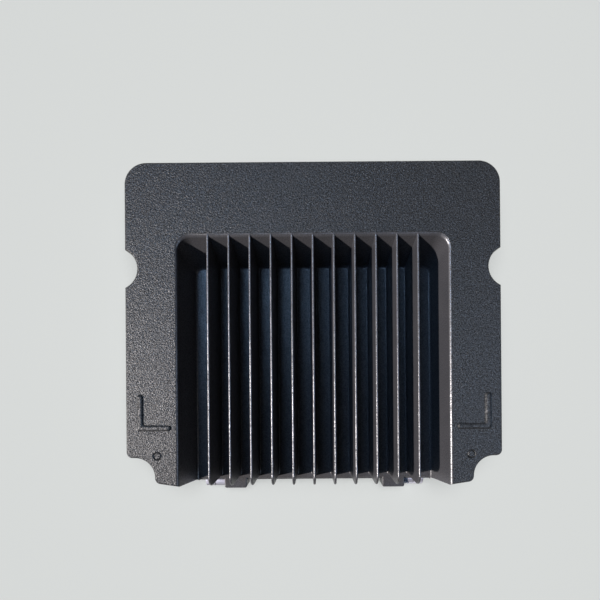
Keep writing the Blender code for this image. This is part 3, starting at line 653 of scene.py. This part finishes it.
def build_cover(material):
    """The sheet cover, with a countersink for each screw."""
    middle = LEG_END_BELOW - 0.5 * MM
    grow = SIDE_DRAFT - 0.6 * MM
    edge = 0.3 * MM
    sections = [
        (housing_outline(grow - edge, middle), 0.0),
        (housing_outline(grow, middle), edge),
        (housing_outline(grow, middle), COVER_HIGH.z - edge),
        (housing_outline(grow - edge, middle), COVER_HIGH.z),
    ]
    cover = loft("cover_plate", sections)
    profile = [
        (-0.5 * MM, SCREW_HEAD_RADIUS + GAP),
        (0.4 * MM, SCREW_HEAD_RADIUS + GAP),
        (1.6 * MM, SCREW_RADIUS + GAP + 0.2 * MM),
        (COVER_HIGH.z + 0.5 * MM, SCREW_RADIUS + GAP + 0.2 * MM),
    ]
    sinks = [turned("sink", profile, (x, below(down), 0), Z_AXIS) for x, down in COVER_SCREWS]
    carve(cover, merged("sinks", sinks))
    refinish(cover, material)
    dress(cover, "inverter", ["back_cover"])


def build_seal(material):
    """A flat rubber band between the cover and the casting's rim."""
    low_z = COVER_HIGH.z + GAP
    high_z = low_z + SEAL_HEIGHT
    middle = LEG_END_BELOW - 1.2 * MM
    outer = housing_outline(SIDE_DRAFT - SEAL_OUTER_INSET, middle)
    inner = housing_outline(SIDE_DRAFT - SEAL_INNER_INSET, middle)
    rings = []
    for outline, z in ((outer, low_z), (outer, high_z), (inner, high_z), (inner, low_z)):
        rings.append([(x, y, z) for x, y in outline])
    mesh_data = bmesh.new()
    skin_rings(mesh_data, rings, hollow=True)
    seal = finish_mesh("seal_ring", mesh_data, material)
    dress(seal, "inverter", ["cover_seal"])


def build_cover_screw(number, x, down, material):
    """A countersunk screw with a cross recess and a ribbed shank for its thread."""
    profile = [
        (0.2 * MM, SCREW_HEAD_RADIUS - 0.15 * MM),
        (0.35 * MM, SCREW_HEAD_RADIUS),
        (0.5 * MM, SCREW_HEAD_RADIUS),
        (1.7 * MM, SCREW_RADIUS - 0.1 * MM),
    ]
    along = 2.2 * MM
    while along < SCREW_LENGTH - SCREW_PITCH:
        profile.append((along, SCREW_RADIUS - 0.15 * MM))
        profile.append((along + SCREW_PITCH / 2, SCREW_RADIUS))
        along += SCREW_PITCH
    profile.append((SCREW_LENGTH, SCREW_RADIUS - 0.4 * MM))
    place = (x, below(down), 0)
    screw = turned(f"countersunk_screw_{number}", profile, place, Z_AXIS, steps=32)
    for half_x, half_y in ((1.5 * MM, 0.3 * MM), (0.3 * MM, 1.5 * MM)):
        low = (x - half_x, below(down) - half_y, -0.5 * MM)
        carve(screw, block("arm", low, (x + half_x, below(down) + half_y, 1.0 * MM)))
    refinish(screw, material)
    dress(screw, "inverter", [f"cover_screw_{number}"])


# ---------------------------------------------------------------- lug bolts

def build_lug_fasteners(material):
    """A spacer sleeve and a socket-head bolt screwed sideways into each lug."""
    for sign, side in ((-1, "left"), (1, "right")):
        start = (sign * (LUG_X + LUG_WIDTH / 2 + GAP), BOLT_Y, BOLT_Z)
        outwards = sign * X_AXIS
        bore = BOLT_SHANK_RADIUS + GAP
        edge = BOLT_EDGE_RADIUS
        sleeve = [(0.0, bore), (0.0, BOLT_RADIUS - edge)]
        sleeve += near_rim(0.0, BOLT_RADIUS, edge)
        sleeve += far_rim(SLEEVE_LENGTH, BOLT_RADIUS, edge)
        sleeve += [(SLEEVE_LENGTH, bore)]
        piece = turned(f"spacer_{side}", sleeve, start, outwards, material, hollow=True, steps=64)
        dress(piece, "inverter", [f"lug_sleeve_{side}"])

        head = SLEEVE_LENGTH + GAP
        tip = head + BOLT_HEAD_LENGTH
        bolt = [
            (-BOLT_DEPTH, BOLT_SHANK_RADIUS - 0.5 * MM),
            (-BOLT_DEPTH + 0.5 * MM, BOLT_SHANK_RADIUS),
            (head, BOLT_SHANK_RADIUS),
        ]
        bolt += near_rim(head, BOLT_RADIUS, edge)
        bolt += far_rim(tip, BOLT_RADIUS, edge)
        piece = turned(f"bolt_{side}", bolt, start, outwards, steps=64)
        recess_base = Vector(start) + outwards * (tip - 3.5 * MM)
        recess = [(0.0, BOLT_HEXAGON_RADIUS), (6.0 * MM, BOLT_HEXAGON_RADIUS)]
        carve(piece, turned("hexagon", recess, recess_base, outwards, steps=6))
        refinish(piece, material)
        dress(piece, "inverter", [f"lug_bolt_{side}"])


# ---------------------------------------------------------------- sockets and fittings

def build_dc_sockets(plastic, metal):
    """Four panel sockets: pins in the odd ones, sleeves in the even ones."""
    for number, x in enumerate(DC_SOCKET_X, start=1):
        build_dc_socket(number, x, plastic)
        build_dc_contact(number, x, metal)


def build_dc_socket(number, x, plastic):
    """A flanged socket with a seal groove, two latch slots and two spanner flats."""
    mouth = SOCKET_REACH
    # (distance from the flange's back, radius): barrel, flange, groove, nose, then the bore
    profile = [
        (-15.0 * MM, DC_BARREL_RADIUS - 0.4 * MM),
        (-14.6 * MM, DC_BARREL_RADIUS),
        (0.0, DC_BARREL_RADIUS),
        (0.0, 7.7 * MM),
        (0.3 * MM, 8.0 * MM),
        (2.3 * MM, 8.0 * MM),
        (2.6 * MM, 7.7 * MM),
        (2.6 * MM, 6.4 * MM),
        (2.9 * MM, 6.1 * MM),
        (4.2 * MM, 6.1 * MM),
        (4.4 * MM, 5.7 * MM),
        (5.2 * MM, 5.7 * MM),
        (5.4 * MM, 6.1 * MM),
        (mouth - 0.5 * MM, 6.0 * MM),
        (mouth, 5.6 * MM),
        (mouth, 4.5 * MM),
        (mouth - 0.4 * MM, 4.2 * MM),
        (-6.0 * MM, 4.2 * MM),
    ]
    base = (x, SOCKET_FACE_Y, SOCKET_Z)
    socket = turned(f"panel_socket_{number}", profile, base, Y_AXIS, steps=64)
    slot_y = SOCKET_FACE_Y + mouth - 4.0 * MM
    for sign in (-1, 1):
        low_x, high_x = sorted((x + sign * 3.0 * MM, x + sign * 8.5 * MM))
        low = (low_x, slot_y, SOCKET_Z - 1.5 * MM)
        high = (high_x, slot_y + 2.5 * MM, SOCKET_Z + 1.5 * MM)
        carve(socket, block("latch_slot", low, high))
        low_x, high_x = sorted((x + sign * 7.3 * MM, x + sign * 9.0 * MM))
        low = (low_x, SOCKET_FACE_Y - 0.5 * MM, SOCKET_Z - 9.0 * MM)
        high = (high_x, SOCKET_FACE_Y + 3.0 * MM, SOCKET_Z + 9.0 * MM)
        carve(socket, block("flat", low, high))
    refinish(socket, plastic)
    dress(socket, "inverter", [f"dc_socket_{number}"])


def build_dc_contact(number, x, metal):
    """A round-nosed pin in an odd socket, a hollow sleeve in an even one."""
    foot = -6.0 * MM + GAP
    tip = SOCKET_REACH - CONTACT_SETBACK
    if number % 2:
        profile = [(foot, 1.4 * MM)]
        profile += dome(tip, 1.2 * MM, 0.5 * MM, 0.9 * MM)
    else:
        profile = [
            (foot, 2.4 * MM),
            (tip - 0.3 * MM, 2.4 * MM),
            (tip, 2.2 * MM),
            (tip, 1.8 * MM),
            (tip - 0.3 * MM, 1.6 * MM),
            (foot + 3.0 * MM, 1.6 * MM),
        ]
    base = (x, SOCKET_FACE_Y, SOCKET_Z)
    contact = turned(f"panel_contact_{number}", profile, base, Y_AXIS, metal, steps=32)
    dress(contact, "inverter", [f"dc_contact_{number}"])


def build_ac_outlet(plastic, ring_plastic, metal):
    """The grid outlet: a socket, three pins round a circle and the ring that locks a plug."""
    mouth = SOCKET_REACH
    base = (AC_SOCKET_X, SOCKET_FACE_Y, SOCKET_Z)
    # (distance from the flange's back, radius): barrel, flange, plain nose, then the bore
    profile = [
        (-15.0 * MM, AC_BARREL_RADIUS - 0.4 * MM),
        (-14.6 * MM, AC_BARREL_RADIUS),
        (0.0, AC_BARREL_RADIUS),
        (0.0, 9.1 * MM),
        (0.3 * MM, 9.4 * MM),
        (1.7 * MM, 9.4 * MM),
        (2.0 * MM, 9.1 * MM),
        (2.0 * MM, 7.6 * MM),
        (mouth - 0.4 * MM, 7.6 * MM),
        (mouth, 7.2 * MM),
        (mouth, 6.0 * MM),
        (mouth - 0.4 * MM, 5.6 * MM),
        (-6.0 * MM, 5.6 * MM),
    ]
    socket = turned("grid_socket", profile, base, Y_AXIS, plastic, steps=72)
    dress(socket, "inverter", ["ac_socket"])

    pin = [(-6.0 * MM + GAP, 1.0 * MM)]
    pin += dome(mouth - CONTACT_SETBACK, 0.8 * MM, 0.4 * MM, 0.6 * MM)
    for number in range(3):
        angle = math.radians(90 + 120 * number)
        x = AC_SOCKET_X + CONTACT_CIRCLE * math.cos(angle)
        place = (x, SOCKET_FACE_Y, SOCKET_Z + CONTACT_CIRCLE * math.sin(angle))
        contact = turned(f"grid_contact_{number + 1}", pin, place, Y_AXIS, metal, steps=24)
        dress(contact, "inverter", [f"ac_contact_{number + 1}"])
    build_lock_ring(ring_plastic)


def build_lock_ring(material):
    """A ring that turns on the outlet's nose, with soft flutes round it for the fingers."""
    steps = 160

    def ring_at(along, radius, flute_depth):
        points = []
        for i in range(steps):
            angle = 2 * math.pi * i / steps
            wave = (0.5 + 0.5 * math.cos(FLUTE_COUNT * angle)) ** 0.6
            reach = radius - flute_depth * (1 - wave)
            x = AC_SOCKET_X + reach * math.cos(angle)
            points.append((x, SOCKET_FACE_Y + along, SOCKET_Z + reach * math.sin(angle)))
        return points

    rims = near_rim(RING_START, RING_OUTER, RING_EDGE_RADIUS)
    rims += far_rim(RING_END, RING_OUTER, RING_EDGE_RADIUS)
    rings = [ring_at(RING_START, RING_BORE, 0.0)]
    rings += [ring_at(along, radius, FLUTE_DEPTH) for along, radius in rims]
    rings.append(ring_at(RING_END, RING_BORE, 0.0))
    mesh_data = bmesh.new()
    skin_rings(mesh_data, rings, hollow=True)
    ring = finish_mesh("lock_collar", mesh_data, material, 45.0)
    dress(ring, "lock_ring", ["ac_lock_ring"])


def build_status_light(lens):
    """A clear light pipe with a small flange and a domed lens."""
    profile = [
        (-9.0 * MM, LIGHT_BARREL_RADIUS),
        (0.0, LIGHT_BARREL_RADIUS),
        (0.0, 3.0 * MM),
        (0.2 * MM, 3.2 * MM),
        (0.6 * MM, 3.2 * MM),
        (0.8 * MM, 3.0 * MM),
    ]
    profile += dome(2.0 * MM, 1.2 * MM, 0.2 * MM, 2.4 * MM, 8)
    light = turned("status_lens", profile, (LIGHT_X, SOCKET_FACE_Y, SOCKET_Z), Y_AXIS, lens)
    dress(light, "inverter", ["status_light"])


def build_vent_plug(plastic):
    """A breather with a ring of grip slots round its head and a shallow dish in its face."""
    profile = [
        (-7.0 * MM, VENT_BARREL_RADIUS),
        (0.0, VENT_BARREL_RADIUS),
        (0.0, 5.7 * MM),
        (0.3 * MM, 6.0 * MM),
        (2.6 * MM, 6.0 * MM),
        (2.9 * MM, 5.8 * MM),
        (3.4 * MM, 5.0 * MM),
        (3.4 * MM, 3.4 * MM),
        (2.8 * MM, 3.1 * MM),
        (2.8 * MM, 0.6 * MM),
    ]
    plug = turned("breather_plug", profile, (VENT_X, SOCKET_FACE_Y, SOCKET_Z), Y_AXIS)
    slot_circle = 5.9 * MM
    slot_profile = [(0.0, 0.6 * MM), (4.0 * MM, 0.6 * MM)]
    slots = []
    for number in range(6):
        angle = 2 * math.pi * number / 6
        x = VENT_X + slot_circle * math.cos(angle)
        place = (x, SOCKET_FACE_Y + 1.2 * MM, SOCKET_Z + slot_circle * math.sin(angle))
        slots.append(turned("slot", slot_profile, place, Y_AXIS, steps=16))
    carve(plug, merged("slots", slots))
    refinish(plug, plastic)
    dress(plug, "inverter", ["vent_plug"])


def build_earth_screw(steel):
    """A washer and a round-headed screw with a cross recess."""
    base = (EARTH_X, SOCKET_FACE_Y, SOCKET_Z)
    washer_profile = [
        (0.0, 2.5 * MM),
        (0.0, 5.3 * MM),
        (0.2 * MM, 5.5 * MM),
        (0.8 * MM, 5.5 * MM),
        (1.0 * MM, 5.3 * MM),
        (1.0 * MM, 2.5 * MM),
    ]
    washer = turned("earth_disc", washer_profile, base, Y_AXIS, steel, hollow=True)
    dress(washer, "inverter", ["earth_washer"])

    head = 1.0 * MM + GAP
    profile = [
        (-8.0 * MM, EARTH_SHANK_RADIUS - 0.4 * MM),
        (-7.6 * MM, EARTH_SHANK_RADIUS),
        (head, EARTH_SHANK_RADIUS),
        (head, 4.2 * MM),
        (head + 0.3 * MM, 4.4 * MM),
    ]
    profile += dome(head + 2.6 * MM, 1.6 * MM, 2.4 * MM, 2.0 * MM)
    screw = turned("earth_bolt", profile, base, Y_AXIS)
    for half_x, half_z in ((2.2 * MM, 0.45 * MM), (0.45 * MM, 2.2 * MM)):
        low = (EARTH_X - half_x, SOCKET_FACE_Y + head + 1.2 * MM, SOCKET_Z - half_z)
        high = (EARTH_X + half_x, SOCKET_FACE_Y + head + 4.0 * MM, SOCKET_Z + half_z)
        carve(screw, block("arm", low, high))
    refinish(screw, steel)
    dress(screw, "inverter", ["earth_screw"])


# ---------------------------------------------------------------- materials

def new_material(name, colour, roughness, metallic=0.0):
    """A plain material, with the handles that its maker goes on to use."""
    material = bpy.data.materials.new(name)
    material.use_nodes = True
    shader = material.node_tree.nodes["Principled BSDF"]
    shader.inputs["Base Color"].default_value = (*colour, 1.0)
    shader.inputs["Roughness"].default_value = roughness
    shader.inputs["Metallic"].default_value = metallic
    return material, material.node_tree.nodes, material.node_tree.links, shader


def noise(nodes, links, scale, detail=2.0, roughness=0.5, stretch=None):
    """Noise fixed to the piece; a stretch below 1 draws it out along that axis."""
    coordinates = nodes.new("ShaderNodeTexCoord")
    source = coordinates.outputs["Object"]
    if stretch is not None:
        mapping = nodes.new("ShaderNodeMapping")
        mapping.inputs["Scale"].default_value = stretch
        links.new(source, mapping.inputs["Vector"])
        source = mapping.outputs["Vector"]
    texture = nodes.new("ShaderNodeTexNoise")
    texture.inputs["Scale"].default_value = scale
    texture.inputs["Detail"].default_value = detail
    texture.inputs["Roughness"].default_value = roughness
    links.new(source, texture.inputs["Vector"])
    return texture.outputs["Fac"]


def spread(nodes, links, source, low, high, from_low=0.3, from_high=0.7):
    """The source's stretch between from_low and from_high, spread over low to high."""
    ranged = nodes.new("ShaderNodeMapRange")
    ranged.inputs["From Min"].default_value = from_low
    ranged.inputs["From Max"].default_value = from_high
    ranged.inputs["To Min"].default_value = low
    ranged.inputs["To Max"].default_value = high
    links.new(source, ranged.inputs["Value"])
    return ranged.outputs["Result"]


def ramp(nodes, links, source, stops):
    """A colour for each value of the source, from (place, colour) stops."""
    colours = nodes.new("ShaderNodeValToRGB")
    while len(colours.color_ramp.elements) < len(stops):
        colours.color_ramp.elements.new(0.5)
    for element, (place, colour) in zip(colours.color_ramp.elements, stops):
        element.position = place
        element.color = (*colour, 1.0)
    links.new(source, colours.inputs["Fac"])
    return colours.outputs["Color"]


def mathed(nodes, links, operation, first, second=None):
    """A sum, product or other operation on one or two sources."""
    node = nodes.new("ShaderNodeMath")
    node.operation = operation
    links.new(first, node.inputs[0])
    if second is not None:
        links.new(second, node.inputs[1])
    return node.outputs["Value"]


def blended(nodes, links, share, first, second):
    """The first colour turning into the second, a node's or a plain one, as the share rises."""
    node = nodes.new("ShaderNodeMix")
    node.data_type = "RGBA"
    links.new(share, node.inputs[0])
    links.new(first, node.inputs[6])
    if isinstance(second, tuple):
        node.inputs[7].default_value = second
    else:
        links.new(second, node.inputs[7])
    return node.outputs[2]


def bump(nodes, links, height, shader, strength, distance):
    node = nodes.new("ShaderNodeBump")
    node.inputs["Strength"].default_value = strength
    node.inputs["Distance"].default_value = distance
    links.new(height, node.inputs["Height"])
    links.new(node.outputs["Normal"], shader.inputs["Normal"])


def coat_material():
    """Black powder coat: grainy outside, smoother in the bay; fin tips light as wear and as a painted
    highlight, and a painted highlight on the bay's right rim.
    """
    material, nodes, links, shader = new_material("cast_coat", (0.035, 0.035, 0.036), 0.36)
    coordinates = nodes.new("ShaderNodeTexCoord")
    place = nodes.new("ShaderNodeSeparateXYZ")
    links.new(coordinates.outputs["Object"], place.inputs["Vector"])
    height = place.outputs["Z"]
    from_middle = mathed(nodes, links, "ABSOLUTE", place.outputs["X"])

    def between(source, low, high):
        return spread(nodes, links, source, 0.0, 1.0, low, high)

    def both(first, second):
        return mathed(nodes, links, "MULTIPLY", first, second)

    rim_x = BAY_HALF_FRONT + BAY_SIDE_RIM
    rim_y = below(BAY_TOP_FRONT_BELOW) + BAY_TOP_RIM
    beside = between(from_middle, rim_x, rim_x - 0.2 * MM)
    under = between(place.outputs["Y"], rim_y, rim_y - 0.2 * MM)
    # 1 on the bay's walls, floor and fins, 0 on the outside
    in_bay = both(both(beside, under), between(height, FRONT_Z - 0.02 * MM, FRONT_Z - 0.08 * MM))
    in_bay = both(in_bay, between(height, FLOOR_Z - 3.0 * MM, FLOOR_Z - 2.0 * MM))

    # the fins' tips, short of the side walls and of the bay's top wall: partly worn bright, partly a
    # painted highlight of the key light
    near_tip = between(height, FRONT_Z - 0.55 * MM, FRONT_Z - 0.25 * MM)
    clear_of_sides = between(from_middle, 80.0 * MM, 79.0 * MM)
    clear_of_top = between(place.outputs["Y"], rim_y - 1.6 * MM, rim_y - 2.0 * MM)
    fin_tips = both(near_tip, both(clear_of_sides, clear_of_top))
    # the rim of the bay's right-hand wall, made light and metallic as a painted highlight of the key
    # light from the left
    near_front = between(height, FRONT_Z - 1.3 * MM, FRONT_Z - 0.8 * MM)
    right_rim_highlight = both(near_front, between(place.outputs["X"], 85.0 * MM, 86.0 * MM))
    specks = noise(nodes, links, 1900.0, 2.0, 0.6)
    wear_and_painted_highlight = both(mathed(nodes, links, "MAXIMUM", fin_tips, right_rim_highlight), in_bay)
    wear_and_painted_highlight = both(wear_and_painted_highlight, between(specks, 0.38, 0.60))

    # the colours: mottled outside, even in the bay, light metal where worn and where a highlight is
    # painted
    patches = noise(nodes, links, 60.0, 3.0)
    mottle = noise(nodes, links, 1050.0, 3.0, 0.7)
    outside_stops = [(0.35, (0.016, 0.017, 0.018)), (0.65, (0.052, 0.054, 0.056))]
    bay_stops = [(0.35, (0.060, 0.060, 0.065)), (0.70, (0.068, 0.067, 0.072))]
    outside_colour = ramp(nodes, links, mottle, outside_stops)
    bay_colour = ramp(nodes, links, patches, bay_stops)
    coat_colour = blended(nodes, links, in_bay, outside_colour, bay_colour)
    # painted highlight: the light metal colour on the right rim, and partly on the fin tips, stands in
    # for the key light's highlight
    worn_and_highlit_colour = blended(nodes, links, wear_and_painted_highlight, coat_colour, (0.28, 0.28, 0.29, 1.0))
    links.new(worn_and_highlit_colour, shader.inputs["Base Color"])
    glint = spread(nodes, links, mottle, 0.10, 0.95, 0.36, 0.64)
    links.new(glint, shader.inputs["Specular IOR Level"])
    links.new(both(wear_and_painted_highlight, between(specks, 0.30, 0.60)), shader.inputs["Metallic"])
    links.new(spread(nodes, links, patches, 0.32, 0.40), shader.inputs["Roughness"])

    grain = noise(nodes, links, 1150.0, 2.0, 0.6)
    grain_share = spread(nodes, links, in_bay, 1.0, 0.10, 0.0, 1.0)
    bump(nodes, links, both(grain, grain_share), shader, 1.0, 0.5 * MM)
    return material


def sheet_material():
    """Rolled cover sheet with fine lengthwise brushing."""
    material, nodes, links, shader = new_material("rolled_sheet", (0.42, 0.43, 0.45), 0.4, 1.0)
    lines = noise(nodes, links, 900.0, 3.0, 0.6, (0.02, 1.0, 1.0))
    blots = noise(nodes, links, 35.0, 4.0)
    colour = ramp(nodes, links, blots, [(0.3, (0.34, 0.35, 0.37)), (0.7, (0.46, 0.47, 0.49))])
    links.new(colour, shader.inputs["Base Color"])
    links.new(spread(nodes, links, lines, 0.28, 0.50), shader.inputs["Roughness"])
    bump(nodes, links, lines, shader, 0.25, 0.05 * MM)
    return material


def steel_material(name, colour, roughness, scale, metallic=1.0, shade=0.86):
    """Bright or zinc-plated steel with fine turning marks and lengthwise dark streaks: mild ones are
    stains, and deep ones from a low shade are painted reflections.
    """
    material, nodes, links, shader = new_material(name, colour, roughness, metallic)
    marks = noise(nodes, links, scale, 3.0, 0.6, (1.0, 0.05, 0.05))
    stains_and_reflection_streaks = noise(nodes, links, 420.0, 3.0, 0.5, (0.15, 1.0, 1.0))
    dim = tuple(shade * channel for channel in colour)
    links.new(ramp(nodes, links, stains_and_reflection_streaks, [(0.3, dim), (0.65, colour)]), shader.inputs["Base Color"])
    links.new(spread(nodes, links, marks, roughness * 0.8, roughness * 1.5), shader.inputs["Roughness"])
    bump(nodes, links, marks, shader, 0.15, 0.03 * MM)
    return material


def moulded_material(name, colour, roughness, scale=1400.0, depth=0.06 * MM):
    """Moulded plastic or rubber with a fine sparked texture and slight colour drift."""
    material, nodes, links, shader = new_material(name, colour, roughness)
    texture = noise(nodes, links, scale, 3.0, 0.6)
    drift = noise(nodes, links, 90.0, 3.0)
    light = tuple(1.35 * channel + 0.004 for channel in colour)
    links.new(ramp(nodes, links, drift, [(0.35, colour), (0.7, light)]), shader.inputs["Base Color"])
    links.new(spread(nodes, links, texture, roughness * 0.8, roughness * 1.2), shader.inputs["Roughness"])
    bump(nodes, links, texture, shader, 0.4, depth)
    return material


def lens_material():
    """Clear, faintly green plastic."""
    material, nodes, links, shader = new_material("clear_lens", (0.75, 0.90, 0.78), 0.12)
    shader.inputs["Transmission Weight"].default_value = 0.8
    ripple = noise(nodes, links, 500.0, 2.0)
    links.new(spread(nodes, links, ripple, 0.08, 0.18), shader.inputs["Roughness"])
    bump(nodes, links, ripple, shader, 0.1, 0.02 * MM)
    return material


def dress_inner_nodes(steel, plastic):
    """Procedural finishes for the pieces inside the housing, which keep their own meshes."""
    board = moulded_material("solder_mask", (0.015, 0.10, 0.04), 0.4, 700.0, 0.04 * MM)
    sleeve = moulded_material("shrink_sleeve", (0.02, 0.03, 0.08), 0.3, 300.0, 0.02 * MM)
    ferrite = moulded_material("sintered_ferrite", (0.05, 0.05, 0.055), 0.6, 1600.0, 0.08 * MM)
    tape = moulded_material("winding_tape_amber", (0.55, 0.36, 0.05), 0.35, 400.0, 0.05 * MM)
    copper = steel_material("enamelled_copper", (0.60, 0.25, 0.10), 0.28, 1200.0)
    case = moulded_material("moulded_case", (0.04, 0.04, 0.05), 0.45)
    box_plastic = moulded_material("potted_box", (0.42, 0.05, 0.03), 0.35)
    pad = moulded_material("gap_pad", (0.32, 0.42, 0.52), 0.8, 900.0, 0.08 * MM)
    can = steel_material("tinned_can", (0.60, 0.60, 0.60), 0.3, 900.0)
    finishes = {
        "main_board": board,
        "dc_capacitor": sleeve,
        "transformer_core": ferrite,
        "transformer_winding": tape,
        "output_choke": copper,
        "relay": case,
        "film_capacitor": box_plastic,
        "switch_module": case,
        "thermal_pad": pad,
        "control_module": can,
        "board_screw": steel,
        "dc_nut": plastic,
        "ac_nut": plastic,
    }
    for name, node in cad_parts.items():
        for start, finish in finishes.items():
            if name.startswith(start):
                for material_slot in node.material_slots:
                    material_slot.material = finish


# ---------------------------------------------------------------- studio

def build_floor():
    """A plain pale floor, just under the inverter."""
    mesh_data = bmesh.new()
    bmesh.ops.create_grid(mesh_data, x_segments=2, y_segments=2, size=FLOOR_HALF_SIZE)
    pale = new_material("pale_floor", (0.70, 0.71, 0.705), 0.9)[0]
    floor = finish_mesh("floor", mesh_data, pale)
    floor.location.z = cad_box[0][2] - 0.05 * MM
    return floor


def build_camera():
    """A camera that looks straight down, its picture shifted instead of tilted."""
    data = bpy.data.cameras.new("camera")
    data.sensor_width = 36.0
    data.lens = data.sensor_width * CAMERA_HEIGHT / FRAME_WIDTH
    data.shift_x = FRAME_CENTRE_X / FRAME_WIDTH
    data.shift_y = (CAMERA_BELOW - FRAME_CENTRE_BELOW) / FRAME_WIDTH
    data.clip_start = 0.01
    camera = bpy.data.objects.new("camera", data)
    camera.location = (0.0, below(CAMERA_BELOW), FRONT_Z + CAMERA_HEIGHT)
    camera.rotation_euler = (0.0, 0.0, math.radians(CAMERA_ROLL))
    bpy.context.scene.collection.objects.link(camera)
    bpy.context.scene.camera = camera


def aim(light, target):
    direction = Vector(target) - light.location
    light.rotation_euler = direction.to_track_quat("-Z", "Y").to_euler()


def area_light(name, place, target, size, power, colour):
    data = bpy.data.lights.new(name, "AREA")
    data.shape = "DISK"
    data.size = size
    data.energy = power
    data.color = colour
    light = bpy.data.objects.new(name, data)
    light.location = place
    bpy.context.scene.collection.objects.link(light)
    aim(light, target)
    return light


def link_light(light, floor, state):
    """Keep the light off the floor, or on the floor only."""
    receivers = bpy.data.collections.new(f"{light.name}_receivers")
    receivers.objects.link(floor)
    receivers.collection_objects[0].light_linking.link_state = state
    light.light_linking.receiver_collection = receivers


def build_lights(floor):
    """A warm key from the left, cool fills, and a wide light of its own for the floor."""
    centre = Vector((0.0, -0.02, FRONT_Z))
    # name: (place from the centre, size, power, colour)
    lamps = {
        "key": (2.2 * Vector((-1.0, -0.27, 0.86)).normalized(), 0.10, 70.0, (1.0, 0.93, 0.90)),
        "overhead": (Vector((-0.4, 0.38, 1.2)), 0.6, 5.0, (0.40, 0.63, 1.0)),
        "right": (Vector((1.2, -0.3, 1.2)), 1.0, 10.5, (0.57, 0.73, 1.0)),
        "back": (Vector((0.3, 1.7, 0.10)), 0.4, 2.4, (0.95, 0.97, 1.0)),
        "floor_light": (Vector((0.0, 0.0, 2.4)), 3.0, 80.0, (0.985, 1.0, 0.995)),
    }
    for name, (offset, size, power, colour) in lamps.items():
        light = area_light(name, centre + offset, centre, size, power, colour)
        link_light(light, floor, "INCLUDE" if name == "floor_light" else "EXCLUDE")
        # the right fill only shines in the coat's gloss
        light.visible_diffuse = name != "right"

    world = bpy.data.worlds.new("studio")
    world.use_nodes = True
    background = world.node_tree.nodes["Background"]
    background.inputs["Color"].default_value = (0.90, 0.95, 1.0, 1.0)
    background.inputs["Strength"].default_value = 0.006
    bpy.context.scene.world = world


def main():
    bpy.context.scene.view_settings.view_transform = "Standard"
    build_camera()
    build_lights(build_floor())
    steel = steel_material("zinc_steel", (0.55, 0.55, 0.56), 0.32, 900.0)
    # painted reflection: the bolts' light lavender colour and deep lengthwise streaks stand in for bright
    # surroundings reflected in polished steel
    bright = steel_material("polished_steel", (0.66, 0.66, 0.76), 0.30, 1500.0, 0.25, 0.30)
    tin = steel_material("tin_plate", (0.75, 0.74, 0.70), 0.22, 900.0)
    plastic = moulded_material("socket_black", (0.03, 0.03, 0.03), 0.5)
    ring_plastic = moulded_material("ring_black", (0.045, 0.045, 0.05), 0.42)
    rubber = moulded_material("seal_black", (0.02, 0.02, 0.02), 0.8)
    build_housing(coat_material())
    build_cover(sheet_material())
    build_seal(rubber)
    for number, (x, down) in enumerate(COVER_SCREWS, start=1):
        build_cover_screw(number, x, down, steel)
    build_lug_fasteners(bright)
    build_dc_sockets(plastic, tin)
    build_ac_outlet(plastic, ring_plastic, tin)
    build_status_light(lens_material())
    build_vent_plug(plastic)
    build_earth_screw(steel)
    dress_inner_nodes(steel, plastic)


main()
